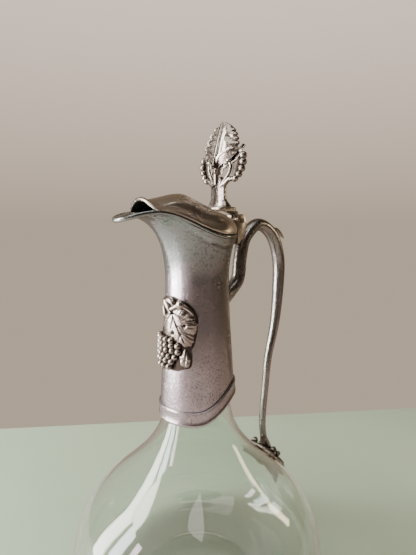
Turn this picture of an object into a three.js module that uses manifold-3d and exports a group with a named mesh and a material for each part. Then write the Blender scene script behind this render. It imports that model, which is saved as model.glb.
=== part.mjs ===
// Pewter-mounted glass claret jug: a squat blown globe, a pewter neck sleeve with a pouring lip,
// a hinged beaked lid with a leaf thumbpiece, and an S-shaped cast handle.
// Millimetres, +Z up, origin at the centre of the flat base.
// The spout points to -X, the handle to +X, and the lid hinge lies along Y.
import * as THREE from 'three';
import { mergeVertices } from 'three/addons/utils/BufferGeometryUtils.js';
import Module from 'manifold-3d';

const wasm = await Module();
wasm.setup();

// ---------- driving dimensions ----------
const GAP = 0.3; // clearance between pieces that touch
const SPIN = 40; // columns round the neck

// glass body
const BASE_R = 42; // flat foot of the globe
const BELLY_R = 80;
const BELLY_Z = 30;
const SHOULDER_R = 55; // where the shoulder turns from convex to concave
const SHOULDER_Z = 75.6;
const GLASS_WALL = 2.6;
const GLASS_FLOOR = 7;
const THROAT_HEIGHT = 43.4; // from the shoulder to the sleeve's lower edge
const THROAT_TAPER = 56; // height over which the glass narrows to its neck
const THROAT_CLEAR = 0.5; // between the glass and the sleeve's lower edge

// neck sleeve
const SLEEVE_BOTTOM_R = 23.6;
const SLEEVE_LENGTH = 87; // from its lower edge at the front to its waist
const WAIST_R = 19.8;
const SLEEVE_WALL = 1.7;
const SLEEVE_FOOT_WALL = 1.2;
const FLARE_HEIGHT = 26; // from the waist to the rear of the rim
const RIM_R = 24.5; // rear half of the rim
const RIM_RISE = 12.4; // the rim climbs towards the lip
const RIM_RISE_FROM = -5;
const RIM_RISE_RUN = 40;
const LIP_DIP = 5.2; // the tongue of the lip droops again
const LIP_DIP_FROM = 36;
const LIP_CURL = 46; // degrees that the edge of the tongue turns down
const LIP_TIP_R = 11;
const LIP_CENTRE = 44;
const RIM_STRIP_PROUD = 0.5; // raised strip under the rim

// collar band
const BAND_HEIGHT = 9;
const BAND_THICK = 0.9;
const BAND_RISE = 13.5; // sweep towards the handle
const BAND_RISE_FROM = 48; // degrees from the spout
const BAND_RISE_SPAN = 78;

// plaster fill between glass neck and sleeve
const PLASTER_START = 7; // above the sleeve's lower edge
const PLASTER_THICK = 1.1; // at the waist
const PLASTER_DROP = 6; // its top lies this far below the glass rim

// lid
const LID_WALL = 1.6;
const LID_SEAT = 0.6; // gap over the rim
const LID_HEIGHT = 13; // its flat rear top over the rear of the rim
const DOME_RISE = 11.3;
const DOME_CENTRE = 15;
const DOME_RUN_FRONT = 30;
const DOME_RUN_REAR = 15;
const HOOD_START = 36; // the beak leaves the rim here
const HOOD_REACH = 3.5;
const HOOD_RISE = 7.2;

// hinge
const HINGE_RAISE = 8.5; // axis over the rear of the rim
const HINGE_CLEAR = 0.4; // between the knuckles and the lid's rear
const KNUCKLE_R = 4.1;
const PIN_R = 1.5;
const PIN_CLEAR = 0.12;
const LID_KNUCKLE_WIDTH = 8;
const SLEEVE_KNUCKLE_WIDTH = 5.6;
const PIN_PROUD = 0.6;

// thumbpiece
const FOOT_LENGTH = 15;
const FOOT_WIDTH = 17;
const FOOT_THICK = 2.4;
const STEM_X = 17;
const STEM_THICK = 4.4;
const STEM_WAIST = 14;
const STEM_RISE = 19; // its top over the lid's rear top
const STALK_LENGTH = 19; // from the stem to the leaf
const LEAF_LENGTH = 19;
const LEAF_HALF = 13.6;
const LEAF_THICK = 2.6;
const SWEEP_BACK = 0.25; // both wings of the thumbpiece lean back from its midrib
const LEAF_LEAN = 6.9;
const SCROLL_R = 1.9;
const BEAD_R = 2.0;

// handle
const HANDLE_W = 10; // across, at the arch
const HANDLE_T = 8.4; // in its plane, at the arch
const HANDLE_FOOT_SCALE = 0.56;
const HANDLE_FOOT_RISE = 5; // its lower end lies this far over the middle of the leaf plate
const SPUR_LENGTH = 9;

// leaf terminal on the glass
const PAD_THICK = 0.8;
const PAD_SHARE = 0.92; // the glue lies just inside the plate's outline
const PLATE_THICK = 2.2;
const PLATE_WIDTH = 38;
const PLATE_LENGTH = 30;
const PLATE_DROP = 12.68; // its centre lies this far below the shoulder
const BERRY_R = 2.4;

// grape badge on the sleeve
const BADGE_DROP = 31; // its middle lies this far below the waist
const BADGE_THICK = 2.0;
const GRAPE_R = 2.0;

// ---------- levels and radii that follow ----------
const SLEEVE_BOTTOM = SHOULDER_Z + THROAT_HEIGHT;
const WAIST_Z = SLEEVE_BOTTOM + SLEEVE_LENGTH;
const RIM_REAR_Z = WAIST_Z + FLARE_HEIGHT;
const GLASS_NECK_R = WAIST_R - SLEEVE_WALL - PLASTER_THICK - 2 * GAP;
const THROAT_R = SLEEVE_BOTTOM_R - SLEEVE_FOOT_WALL - THROAT_CLEAR;
const PLASTER_TOP = WAIST_Z - PLASTER_DROP;
const LID_TOP_REAR = RIM_REAR_Z + LID_HEIGHT;
const HINGE_X = RIM_R + HINGE_CLEAR + KNUCKLE_R;
const HINGE_Z = RIM_REAR_Z + HINGE_RAISE;
const STEM_TOP_Z = LID_TOP_REAR + STEM_RISE;
const LEAF_BASE_Z = STEM_TOP_Z + STALK_LENGTH;
const LEAF_TOP_Z = LEAF_BASE_Z + LEAF_LENGTH;
const LEAN_START_Z = STEM_TOP_Z + 11; // the midrib leans back above this
const PLATE_Z = SHOULDER_Z - PLATE_DROP;
const BADGE_Z = WAIST_Z - BADGE_DROP;

// ---------- small maths ----------
const clamp01 = (t) => Math.min(1, Math.max(0, t));
const ease = (t) => 0.5 - 0.5 * Math.cos(Math.PI * clamp01(t));
const mix = (a, b, t) => a + (b - a) * t;
const vec = (x, y, z) => new THREE.Vector3(x, y, z);

function bezier2(p0, p1, p2, p3, steps) {
  const curve = new THREE.CubicBezierCurve(
    new THREE.Vector2(...p0), new THREE.Vector2(...p1),
    new THREE.Vector2(...p2), new THREE.Vector2(...p3));
  return curve.getPoints(steps);
}

// ---------- closed meshes ----------
// Welds a geometry, drops the slivers at its poles and turns its faces outwards.
function closed(geometry) {
  const bare = new THREE.BufferGeometry();
  bare.setAttribute('position', geometry.getAttribute('position').clone());
  if (geometry.index) bare.setIndex(geometry.index.clone());
  const welded = mergeVertices(bare, 1e-4);
  const source = welded.index.array;
  const pos = welded.getAttribute('position');
  const faces = [];
  let volume = 0;
  for (let i = 0; i < source.length; i += 3) {
    const [a, b, c] = [source[i], source[i + 1], source[i + 2]];
    if (a === b || b === c || c === a) continue;
    faces.push(a, b, c);
    const pa = new THREE.Vector3().fromBufferAttribute(pos, a);
    const pb = new THREE.Vector3().fromBufferAttribute(pos, b);
    const pc = new THREE.Vector3().fromBufferAttribute(pos, c);
    volume += pa.dot(pb.cross(pc));
  }
  if (volume < 0) faces.reverse();
  welded.setIndex(faces);
  return welded;
}

// Rows of points joined into a skin; each row is a closed ring.
function ringSkin(rows, wrapRows) {
  const count = rows[0].length;
  const positions = [];
  rows.forEach((row) => row.forEach((p) => positions.push(p.x, p.y, p.z)));
  const faces = [];
  const last = wrapRows ? rows.length : rows.length - 1;
  for (let r = 0; r < last; r += 1) {
    const next = (r + 1) % rows.length;
    for (let c = 0; c < count; c += 1) {
      const d = (c + 1) % count;
      faces.push(r * count + c, r * count + d, next * count + d);
      faces.push(r * count + c, next * count + d, next * count + c);
    }
  }
  return { positions, faces, count };
}

function toGeometry(skin) {
  const geometry = new THREE.BufferGeometry();
  geometry.setAttribute('position', new THREE.Float32BufferAttribute(skin.positions, 3));
  geometry.setIndex(skin.faces);
  return closed(geometry);
}

// A ring-shaped solid: its rows run round its section and meet again.
const ringSolid = (rows) => toGeometry(ringSkin(rows, true));

// A solid whose first and last rows are closed by a point: their middle, unless it is given.
function cappedSolid(rows, firstPoint, lastPoint) {
  const skin = ringSkin(rows, false);
  const middle = (row) => row.reduce((sum, p) => sum.add(p), vec(0, 0, 0)).divideScalar(row.length);
  const cap = (point, offset, flip) => {
    const tip = skin.positions.length / 3;
    skin.positions.push(point.x, point.y, point.z);
    for (let c = 0; c < skin.count; c += 1) {
      const d = (c + 1) % skin.count;
      if (flip) skin.faces.push(tip, offset + d, offset + c);
      else skin.faces.push(tip, offset + c, offset + d);
    }
  };
  cap(firstPoint ?? middle(rows[0]), 0, true);
  cap(lastPoint ?? middle(rows[rows.length - 1]), (rows.length - 1) * skin.count, false);
  return toGeometry(skin);
}

// A solid of revolution about Z from [radius, z] points.
function lathe(points, segments) {
  const profile = points.map((p) => new THREE.Vector2(p.x, p.y));
  return closed(new THREE.LatheGeometry(profile, segments).rotateX(Math.PI / 2));
}

// An outline in the XZ plane, extruded symmetrically along Y and moved to y.
function plateXZ(shape, width, y) {
  const geometry = new THREE.ExtrudeGeometry(shape, { depth: width, bevelEnabled: false, curveSegments: 12 });
  geometry.rotateX(Math.PI / 2);
  geometry.translate(0, y + width / 2, 0);
  return closed(geometry);
}

function ball(radius, centre, detail = 1) {
  return closed(new THREE.IcosahedronGeometry(radius, detail).translate(centre.x, centre.y, centre.z));
}

// ---------- booleans ----------
function solid(geometry) {
  const mesh = new wasm.Mesh({
    numProp: 3,
    vertProperties: Float32Array.from(geometry.getAttribute('position').array),
    triVerts: Uint32Array.from(geometry.index.array),
  });
  return new wasm.Manifold(mesh);
}

function fromSolid(body) {
  const mesh = body.getMesh();
  const geometry = new THREE.BufferGeometry();
  geometry.setAttribute('position', new THREE.Float32BufferAttribute(mesh.vertProperties, 3));
  geometry.setIndex(Array.from(mesh.triVerts));
  return closed(geometry);
}

const join = (parts) => fromSolid(parts.map(solid).reduce((a, b) => a.add(b)));
const cut = (whole, tool) => fromSolid(solid(whole).subtract(solid(tool)));
const common = (a, b) => fromSolid(solid(a).intersect(solid(b)));

// ---------- glass ----------
// Radius of the glass above the sleeve's lower edge.
function glassNeckRadius(z) {
  const t = clamp01((z - SLEEVE_BOTTOM) / THROAT_TAPER);
  return mix(GLASS_NECK_R, THROAT_R, (1 - t) ** 2.2);
}

// Outside of the globe from the foot's edge to the top of the glass neck.
function glassOutline() {
  const foot = bezier2([BASE_R, 0], [BASE_R + 20, 0], [BELLY_R, BELLY_Z - 20], [BELLY_R, BELLY_Z], 6);
  const slope = vec(-14, 11.9, 0).normalize();
  const belly = bezier2([BELLY_R, BELLY_Z], [BELLY_R, BELLY_Z + 20],
    [SHOULDER_R - slope.x * 18.4, SHOULDER_Z - slope.y * 18.4], [SHOULDER_R, SHOULDER_Z], 6);
  const throat = bezier2([SHOULDER_R, SHOULDER_Z], [SHOULDER_R + slope.x * 18.4, SHOULDER_Z + slope.y * 18.4],
    [THROAT_R + 3.9, SLEEVE_BOTTOM - 18], [THROAT_R, SLEEVE_BOTTOM], 7);
  const neck = [];
  for (let i = 1; i <= 4; i += 1) {
    const z = mix(SLEEVE_BOTTOM, WAIST_Z, (i / 4) ** 1.3);
    neck.push(new THREE.Vector2(glassNeckRadius(z), z));
  }
  return [...foot, ...belly.slice(1), ...throat.slice(1), ...neck];
}

// Radius of the glass between the points of its outline, above the belly.
function glassRadiusAt(z) {
  const outline = glassOutline();
  const last = outline.length - 1;
  const index = outline.findIndex((p, i) => i === last || (p.y >= z && p.y > BELLY_Z));
  const [below, above] = [outline[index - 1], outline[index]];
  return mix(below.x, above.x, (z - below.y) / (above.y - below.y));
}

// An open outline moved sideways by d (positive is outwards from the glass).
function shifted(outline, d) {
  return outline.map((p, i) => {
    const a = outline[Math.max(0, i - 1)];
    const b = outline[Math.min(outline.length - 1, i + 1)];
    const along = new THREE.Vector2().subVectors(b, a).normalize();
    return new THREE.Vector2(p.x + along.y * d, p.y - along.x * d);
  });
}

function glassBody() {
  const outside = glassOutline();
  const inside = shifted(outside, -GLASS_WALL).filter((p) => p.y > GLASS_FLOOR + 2);
  const floorR = inside[0].x - 6;
  const profile = [
    new THREE.Vector2(0, 0),
    ...outside,
    ...inside.reverse(),
    new THREE.Vector2(floorR, GLASS_FLOOR),
    new THREE.Vector2(0, GLASS_FLOOR),
  ];
  return lathe(profile, 36);
}

// The glass outside, grown by d and filled solid, used to seat pieces on it.
function glassForm(d) {
  const grown = shifted(glassOutline(), d);
  const profile = [new THREE.Vector2(0, grown[0].y), ...grown, new THREE.Vector2(0, WAIST_Z)];
  return lathe(profile, 54);
}

// ---------- neck sleeve ----------
const rimHeight = (s) => RIM_REAR_Z + RIM_RISE * ease((s - RIM_RISE_FROM) / RIM_RISE_RUN)
  - LIP_DIP * clamp01((s - LIP_DIP_FROM) / (LIP_CENTRE + LIP_TIP_R - LIP_DIP_FROM)) ** 1.6;

const neckRadius = (z) => mix(WAIST_R, SLEEVE_BOTTOM_R, ease((WAIST_Z - z) / (WAIST_Z - SLEEVE_BOTTOM)));

// The lower edge sweeps up towards the handle; angle in radians from the spout.
const sweep = (angle) => BAND_RISE
  * ease((Math.abs(THREE.MathUtils.radToDeg(angle)) - BAND_RISE_FROM) / BAND_RISE_SPAN);

// Half of the rim in plan as {s, l}: s towards the spout, l sideways, from the rear to the tip.
function halfRim() {
  const turn = Math.acos((RIM_R - LIP_TIP_R) / LIP_CENTRE);
  const half = [];
  for (let i = 0; i <= 9; i += 1) {
    const a = mix(Math.PI, turn, i / 9);
    half.push({ s: RIM_R * Math.cos(a), l: RIM_R * Math.sin(a) });
  }
  const from = half[half.length - 1];
  const to = { s: LIP_CENTRE + LIP_TIP_R * Math.cos(turn), l: LIP_TIP_R * Math.sin(turn) };
  for (let i = 1; i < 6; i += 1) half.push({ s: mix(from.s, to.s, i / 6), l: mix(from.l, to.l, i / 6) });
  for (let i = 0; i <= 5; i += 1) {
    const a = mix(turn, 0, i / 5);
    half.push({ s: LIP_CENTRE + LIP_TIP_R * Math.cos(a), l: LIP_TIP_R * Math.sin(a) });
  }
  return half;
}

function fullRim() {
  const half = halfRim();
  const back = half.slice(1, -1).reverse().map((p) => ({ s: p.s, l: -p.l }));
  return [...half, ...back];
}

// Outer profile of the sleeve over one rim point, as [radius, z] from the waist up.
function flareCurve(rim) {
  const reach = Math.hypot(rim.s, rim.l);
  const top = rimHeight(rim.s);
  const e = clamp01((reach - RIM_R) / (LIP_CENTRE + LIP_TIP_R - RIM_R));
  const tilt = THREE.MathUtils.degToRad(mix(70, 10, Math.sqrt(e)) - LIP_CURL * e ** 2);
  const pull = mix(6.4, 24, e);
  return new THREE.CubicBezierCurve(
    new THREE.Vector2(WAIST_R, WAIST_Z),
    new THREE.Vector2(WAIST_R, WAIST_Z + mix(11, 20, e)),
    new THREE.Vector2(reach - pull * Math.cos(tilt), top - pull * Math.sin(tilt)),
    new THREE.Vector2(reach, top));
}

// One column of the sleeve's outside: [radius, z] points from its lower edge to the rim.
function sleeveColumn(rim) {
  const angle = Math.atan2(rim.l, rim.s);
  const bottom = SLEEVE_BOTTOM + sweep(angle);
  const points = [];
  for (let i = 0; i <= 6; i += 1) {
    const z = mix(bottom, WAIST_Z, i / 6);
    points.push(new THREE.Vector2(neckRadius(z), z));
  }
  const flare = flareCurve(rim);
  for (let i = 1; i <= 8; i += 1) points.push(flare.getPoint(i / 8));
  return points;
}

const place = (rim, radius, z) => {
  const reach = Math.hypot(rim.s, rim.l);
  return vec(-rim.s * radius / reach, -rim.l * radius / reach, z);
};

function neckSleeve() {
  const columns = fullRim().map((rim) => {
    const outside = sleeveColumn(rim);
    const inside = shifted(outside, -SLEEVE_WALL);
    const last = outside.length - 1;
    const proud = shifted(outside, RIM_STRIP_PROUD);
    outside[last - 1] = proud[last - 1];
    inside[0] = new THREE.Vector2(outside[0].x - SLEEVE_FOOT_WALL, outside[0].y);
    inside[last].y = outside[last].y;
    inside[last].x = outside[last].x - SLEEVE_WALL;
    return [...outside, ...inside.reverse()].map((p) => place(rim, p.x, p.y));
  });
  const rows = columns[0].map((_, r) => columns.map((column) => column[r]));
  return ringSolid(rows);
}

// Plain round core of the sleeve, grown by d, used to seat pieces on its outside.
function sleeveForm(d) {
  const points = [new THREE.Vector2(0, SLEEVE_BOTTOM)];
  for (let i = 0; i <= 8; i += 1) {
    const z = mix(SLEEVE_BOTTOM, WAIST_Z, i / 8);
    points.push(new THREE.Vector2(neckRadius(z) + d, z));
  }
  points.push(new THREE.Vector2(0, WAIST_Z));
  return lathe(points, 48);
}

function collarBand() {
  const rows = [];
  const section = [[0, 0], [0.7, 0], [1, 0.12], [1, 0.88], [0.7, 1], [0, 1]];
  section.forEach(([out, up]) => {
    const row = [];
    for (let c = 0; c < SPIN; c += 1) {
      const a = (c / SPIN) * 2 * Math.PI;
      const angle = Math.atan2(Math.sin(a), Math.cos(a));
      const z = SLEEVE_BOTTOM + sweep(angle) + up * BAND_HEIGHT;
      const r = neckRadius(z) + GAP + out * BAND_THICK;
      row.push(vec(-r * Math.cos(a), -r * Math.sin(a), z));
    }
    rows.push(row);
  });
  return ringSolid(rows);
}

function plasterFill() {
  const rows = [];
  const levels = 4;
  for (let i = 0; i <= 2 * levels + 1; i += 1) {
    const outer = i <= levels;
    const up = outer ? i / levels : (2 * levels + 1 - i) / levels;
    const row = [];
    for (let c = 0; c < SPIN; c += 1) {
      const a = (c / SPIN) * 2 * Math.PI;
      const angle = Math.atan2(Math.sin(a), Math.cos(a));
      const z = mix(SLEEVE_BOTTOM + sweep(angle) + PLASTER_START, PLASTER_TOP, up);
      const r = outer ? neckRadius(z) - SLEEVE_WALL - GAP : glassRadiusAt(z) + GAP;
      row.push(vec(-r * Math.cos(a), -r * Math.sin(a), z));
    }
    rows.push(row);
  }
  return ringSolid(rows);
}

// ---------- lid ----------
const domeHeight = (s) => {
  const run = s > DOME_CENTRE ? DOME_RUN_FRONT : DOME_RUN_REAR;
  return LID_TOP_REAR + DOME_RISE * Math.exp(-(((s - DOME_CENTRE) / run) ** 2));
};

// Edge of the lid as {s, l, z}: on the rim, and arched clear of it at the beak.
function lidEdge() {
  const onRim = halfRim().filter((p) => p.s < HOOD_START - 3);
  const half = onRim.map((p) => ({ ...p, z: rimHeight(p.s) + LID_SEAT }));
  const turn = Math.acos((RIM_R - LIP_TIP_R) / LIP_CENTRE);
  const startL = (RIM_R - HOOD_START * Math.cos(turn)) / Math.sin(turn);
  for (let i = 0; i <= 6; i += 1) {
    const a = (i / 6) * Math.PI / 2;
    half.push({
      s: HOOD_START + HOOD_REACH * Math.sin(a) ** 0.8,
      l: startL * Math.cos(a),
      z: rimHeight(HOOD_START) + LID_SEAT + HOOD_RISE * Math.sin(a) ** 2.8,
    });
  }
  const back = half.slice(1, -1).reverse().map((p) => ({ ...p, l: -p.l }));
  return [...half, ...back];
}

// A point of the lid's outside: q is 0 at the middle and 1 at the edge.
function lidPoint(edge, q) {
  const middle = 6;
  const s = mix(middle, edge.s, q);
  const front = ease((s + 14) / 26);
  const power = mix(5, 2, front);
  const root = mix(2, 1, front);
  const lift = (1 - q ** power) ** (1 / root);
  return vec(-s, -edge.l * q, mix(edge.z, domeHeight(s), lift));
}

function lidShell() {
  const edge = lidEdge();
  const count = edge.length;
  const steps = 8;
  const at = (c, q) => lidPoint(edge[(c + count) % count], q);
  const outer = [];
  const inner = [];
  for (let j = 1; j <= steps; j += 1) {
    const q = Math.sin((j / steps) * Math.PI / 2);
    const row = edge.map((_, c) => at(c, q));
    const under = edge.map((_, c) => {
      const round = at(c + 1, q).sub(at(c - 1, q));
      const inward = at(c, q - 0.03).sub(at(c, Math.min(1, q + 0.0001)));
      const normal = inward.cross(round).normalize();
      if (normal.z < 0) normal.negate();
      const level = vec(normal.x, normal.y, 0).normalize();
      normal.lerp(level, q ** 5).normalize();
      return row[c].clone().addScaledVector(normal, -LID_WALL);
    });
    outer.push(row);
    inner.push(under);
  }
  const top = vec(outer[0].reduce((t, p) => t + p.x, 0) / count, 0, domeHeight(6));
  return cappedSolid([...outer, ...inner.reverse()], top, top.clone().setZ(top.z - LID_WALL));
}

// ---------- hinge ----------
// A knuckle eye round the hinge axis with a leg; leg is a list of [x, z] corners.
function knuckle(leg, width, y) {
  const eye = new THREE.Shape();
  eye.absarc(HINGE_X, HINGE_Z, KNUCKLE_R, 0, 2 * Math.PI);
  const arm = new THREE.Shape(leg.map(([x, z]) => new THREE.Vector2(x, z)));
  const hole = new THREE.Shape();
  hole.absarc(HINGE_X, HINGE_Z, PIN_R + PIN_CLEAR, 0, 2 * Math.PI);
  const body = join([plateXZ(eye, width, y), plateXZ(arm, width, y)]);
  return cut(body, plateXZ(hole, width + 2, y));
}

function lidKnuckle() {
  const back = RIM_R + GAP;
  const high = HINGE_Z + KNUCKLE_R;
  const low = HINGE_Z - KNUCKLE_R;
  const leg = [[back, high - 0.5], [HINGE_X, high - 0.2], [HINGE_X, low + 0.5], [back, low + 1.1]];
  return knuckle(leg, LID_KNUCKLE_WIDTH, 0);
}

function sleeveKnuckle(side) {
  const back = RIM_R + RIM_STRIP_PROUD + GAP;
  const leg = [[HINGE_X + KNUCKLE_R - 0.1, HINGE_Z], [HINGE_X + 1.5, HINGE_Z - 11], [back, HINGE_Z - 15],
    [back, HINGE_Z - 2], [HINGE_X, HINGE_Z]];
  const y = side * (LID_KNUCKLE_WIDTH / 2 + GAP + SLEEVE_KNUCKLE_WIDTH / 2);
  return knuckle(leg, SLEEVE_KNUCKLE_WIDTH, y);
}

function hingePin() {
  const length = LID_KNUCKLE_WIDTH + 2 * (GAP + SLEEVE_KNUCKLE_WIDTH + PIN_PROUD);
  return closed(new THREE.CylinderGeometry(PIN_R, PIN_R, length, 24).translate(HINGE_X, 0, HINGE_Z));
}

// ---------- thumbpiece ----------
// x of the thumbpiece's midrib at a height.
const midribX = (z) => {
  const up = clamp01((z - LEAN_START_Z) / (LEAF_TOP_Z - LEAN_START_Z));
  return STEM_X - 1 + LEAF_LEAN * up ** 1.3;
};

// A point in the thumbpiece's swept-back face: l sideways, z up, out in front of it.
const facePoint = (l, z, out = 0) => vec(midribX(z) + SWEEP_BACK * Math.abs(l) - out, -l, z);

function thumbStem() {
  const footZ = domeHeight(-8) + GAP;
  const footTop = footZ + FOOT_THICK;
  const foot = new THREE.BoxGeometry(FOOT_LENGTH, FOOT_WIDTH, FOOT_THICK)
    .translate(STEM_X + 1, 0, footZ + FOOT_THICK / 2);
  const half = FOOT_WIDTH / 2;
  const waist = STEM_WAIST / 2;
  const rows = [[footTop - 1, half], [footTop + 3, half * 0.94], [mix(footTop, STEM_TOP_Z, 0.55), waist],
    [STEM_TOP_Z - 2.5, waist * 0.96], [STEM_TOP_Z, waist * 0.8]];
  const stem = cappedSolid(rows.map(([z, w]) => [
    vec(STEM_X - STEM_THICK / 2, 0, z),
    vec(STEM_X - STEM_THICK / 4, -w, z),
    vec(STEM_X + STEM_THICK / 2, -w, z),
    vec(STEM_X + STEM_THICK / 2, w, z),
    vec(STEM_X - STEM_THICK / 4, w, z),
  ]));
  const web = new THREE.Shape([
    new THREE.Vector2(STEM_X, footTop - 1), new THREE.Vector2(STEM_X, STEM_TOP_Z - 4),
    new THREE.Vector2(HINGE_X + 3.5, HINGE_Z + 7), new THREE.Vector2(HINGE_X + 3.5, HINGE_Z + 4.6),
    new THREE.Vector2(RIM_R - 2, footTop - FOOT_THICK + 0.2),
  ]);
  return join([closed(foot), stem, plateXZ(web, 4, 0)]);
}

// Serrated leaf on its midrib stalk, thin at its edges and ridged in front.
function thumbLeaf() {
  const rows = [];
  const section = (z, w) => {
    const edge = Math.min(LEAF_THICK * 0.35, w * 0.7);
    rows.push([
      facePoint(0, z, LEAF_THICK / 2),
      facePoint(w, z, edge / 2),
      facePoint(w, z, -edge / 2),
      facePoint(0, z, -LEAF_THICK / 2),
      facePoint(-w, z, -edge / 2),
      facePoint(-w, z, edge / 2),
    ]);
  };
  const stalk = 1.3;
  section(STEM_TOP_Z + GAP, stalk);
  section(LEAF_BASE_Z, stalk);
  const teeth = 6;
  for (let i = 0; i < teeth; i += 1) {
    const t = (i + 0.5) / teeth;
    const w = LEAF_HALF * Math.cos((t - 0.12) * Math.PI / 2 * 1.06) ** 0.8;
    const z = mix(LEAF_BASE_Z, LEAF_TOP_Z, (i + 0.75) / (teeth + 0.25));
    section(z - 1.1, w * 0.84);
    section(z, w);
  }
  section(LEAF_TOP_Z, 0.7);
  return cappedSolid(rows);
}

// A tapering rod along points of the thumbpiece's face.
function faceRod(points, radiusFrom, radiusTo, out) {
  const curve = new THREE.CatmullRomCurve3(points.map(([l, z]) => facePoint(l, z, out)));
  const steps = 7;
  const frames = curve.computeFrenetFrames(steps, false);
  const rows = [];
  for (let i = 0; i <= steps; i += 1) {
    const centre = curve.getPointAt(i / steps);
    const r = mix(radiusFrom, radiusTo, i / steps);
    const row = [];
    for (let k = 0; k < 6; k += 1) {
      const a = (k / 6) * 2 * Math.PI;
      row.push(centre.clone()
        .addScaledVector(frames.normals[i], r * Math.cos(a))
        .addScaledVector(frames.binormals[i], r * Math.sin(a)));
    }
    rows.push(row);
  }
  return cappedSolid(rows);
}

// The side volute, the C-scroll and the arm that carries the beads, on one side.
function thumbScroll(side) {
  const at = (list) => list.map(([l, up]) => [side * l, STEM_TOP_Z + up]);
  const volute = faceRod(at([[4.2, 1.5], [4.6, 10], [8, 15.5], [14, 17.5], [17.5, 20.5]]),
    SCROLL_R, SCROLL_R * 0.6, 0);
  const curl = faceRod(at([[6, 2], [9.5, 6], [11, 10.5], [9.5, 13.5]]), SCROLL_R * 0.8, SCROLL_R * 0.9, 0);
  const arm = faceRod(at([[3.5, 2], [8, 1.4], [12.4, 2]]), SCROLL_R * 0.9, SCROLL_R * 0.7, 0);
  return join([volute, curl, arm]);
}

function thumbBeads(side) {
  const chain = [[16.6, 3.4, 0.85], [17.9, 6.4, 0.92], [18.9, 9.7, 1], [18.9, 13.4, 1]];
  return join(chain.map(([l, up, scale]) => ball(BEAD_R * scale, facePoint(side * l, STEM_TOP_Z + up))));
}

// ---------- handle ----------
// Centre line in the XZ plane, from inside the sleeve to the leaf terminal. The root is measured from
// the waist, the arch from the rear of the rim, and the fall from the leaf plate up to the arch's end.
function handleLine() {
  const root = [[-2.8, -16], [8.2, -11.5], [15.2, -4]];
  const arch = [[12.5, -16], [16.5, -3], [29, 6], [43.5, -1], [51.5, -18], [52, -40]];
  const fall = [[5.8, 0.782], [-0.7, 0.581], [-3.2, 0.404], [-5.5, 0.218], [-4.7, 0.114], [-1.2, 0]];
  const plate = glassSeat().centre;
  const fallTop = RIM_REAR_Z - 40;
  const fallFoot = plate.z + HANDLE_FOOT_RISE;
  return [
    ...root.map(([x, z]) => vec(WAIST_R + x, 0, WAIST_Z + z)),
    ...arch.map(([x, z]) => vec(RIM_R + x, 0, RIM_REAR_Z + z)),
    ...fall.map(([x, share]) => vec(plate.x + x, 0, mix(fallFoot, fallTop, share))),
  ];
}

function handle() {
  const curve = new THREE.CatmullRomCurve3(handleLine(), false, 'centripetal');
  const steps = 44;
  const sides = 10;
  const rows = [];
  for (let i = 0; i <= steps; i += 1) {
    const t = i / steps;
    const centre = curve.getPointAt(t);
    const along = curve.getTangentAt(t);
    const across = vec(along.z, 0, -along.x);
    const slim = mix(1, HANDLE_FOOT_SCALE, clamp01((t - 0.35) / 0.45));
    const row = [];
    for (let k = 0; k < sides; k += 1) {
      const a = (k / sides) * 2 * Math.PI;
      row.push(centre.clone()
        .addScaledVector(across, (HANDLE_T / 2) * slim * Math.cos(a))
        .add(vec(0, (HANDLE_W / 2) * slim * Math.sin(a), 0)));
    }
    rows.push(row);
  }
  const spurOutline = [[41.5, -1], [45.5, 3.2], [48.9 + SPUR_LENGTH, -4.4], [53, -14], [48.5, -12]];
  const spur = new THREE.Shape(spurOutline.map(([x, z]) => new THREE.Vector2(RIM_R + x, RIM_REAR_Z + z)));
  const bar = join([cappedSolid(rows), plateXZ(spur, HANDLE_W * 0.5, 0)]);
  const clearOfSleeve = cut(bar, sleeveForm(GAP));
  return cut(clearOfSleeve, glassForm(GAP + PAD_THICK + GAP + PLATE_THICK + GAP));
}

// ---------- leaf terminal on the glass shoulder ----------
// Five-lobed vine leaf outline, unit half-size, tip pointing down the slope.
function vineLeafShape(width, length) {
  const half = [[0, 0.78], [0.2, 1], [0.5, 0.92], [0.62, 0.6], [0.9, 0.62], [1, 0.25], [0.72, -0.02],
    [0.74, -0.42], [0.42, -0.48], [0.3, -0.72], [0, -1]];
  const right = half.map(([a, b]) => new THREE.Vector2(a * width / 2, b * length / 2));
  const left = half.slice(1, -1).reverse().map(([a, b]) => new THREE.Vector2(-a * width / 2, b * length / 2));
  return new THREE.Shape([...right, ...left]);
}

// The place of the leaf terminal on the glass: its middle, and the ways up the slope and off the glass.
function glassSeat() {
  const outline = glassOutline();
  const index = outline.findIndex((p) => p.y >= PLATE_Z && p.y > BELLY_Z);
  const along = new THREE.Vector2().subVectors(outline[index + 1], outline[index - 1]).normalize();
  return {
    centre: vec(glassRadiusAt(PLATE_Z), 0, PLATE_Z),
    up: vec(along.x, 0, along.y),
    out: vec(along.y, 0, -along.x),
  };
}

// A block of an outline that stands across the glass at the terminal, along the glass normal.
function standOnGlass(shape, depth) {
  const { centre, up, out } = glassSeat();
  const geometry = new THREE.ExtrudeGeometry(shape, { depth: depth * 2, bevelEnabled: false });
  geometry.translate(0, 0, -depth);
  geometry.applyMatrix4(new THREE.Matrix4().makeBasis(vec(0, -1, 0), up, out));
  geometry.translate(centre.x, centre.y, centre.z);
  return closed(geometry);
}

function onGlass(shape, from, to) {
  const layer = cut(glassForm(to), glassForm(from));
  return common(standOnGlass(shape, 14), layer);
}

function adhesivePad() {
  const shape = vineLeafShape(PLATE_WIDTH * PAD_SHARE, PLATE_LENGTH * PAD_SHARE);
  return onGlass(shape, GAP, GAP + PAD_THICK);
}

function leafPlate() {
  const low = 2 * GAP + PAD_THICK;
  return onGlass(vineLeafShape(PLATE_WIDTH, PLATE_LENGTH), low, low + PLATE_THICK);
}

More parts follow.
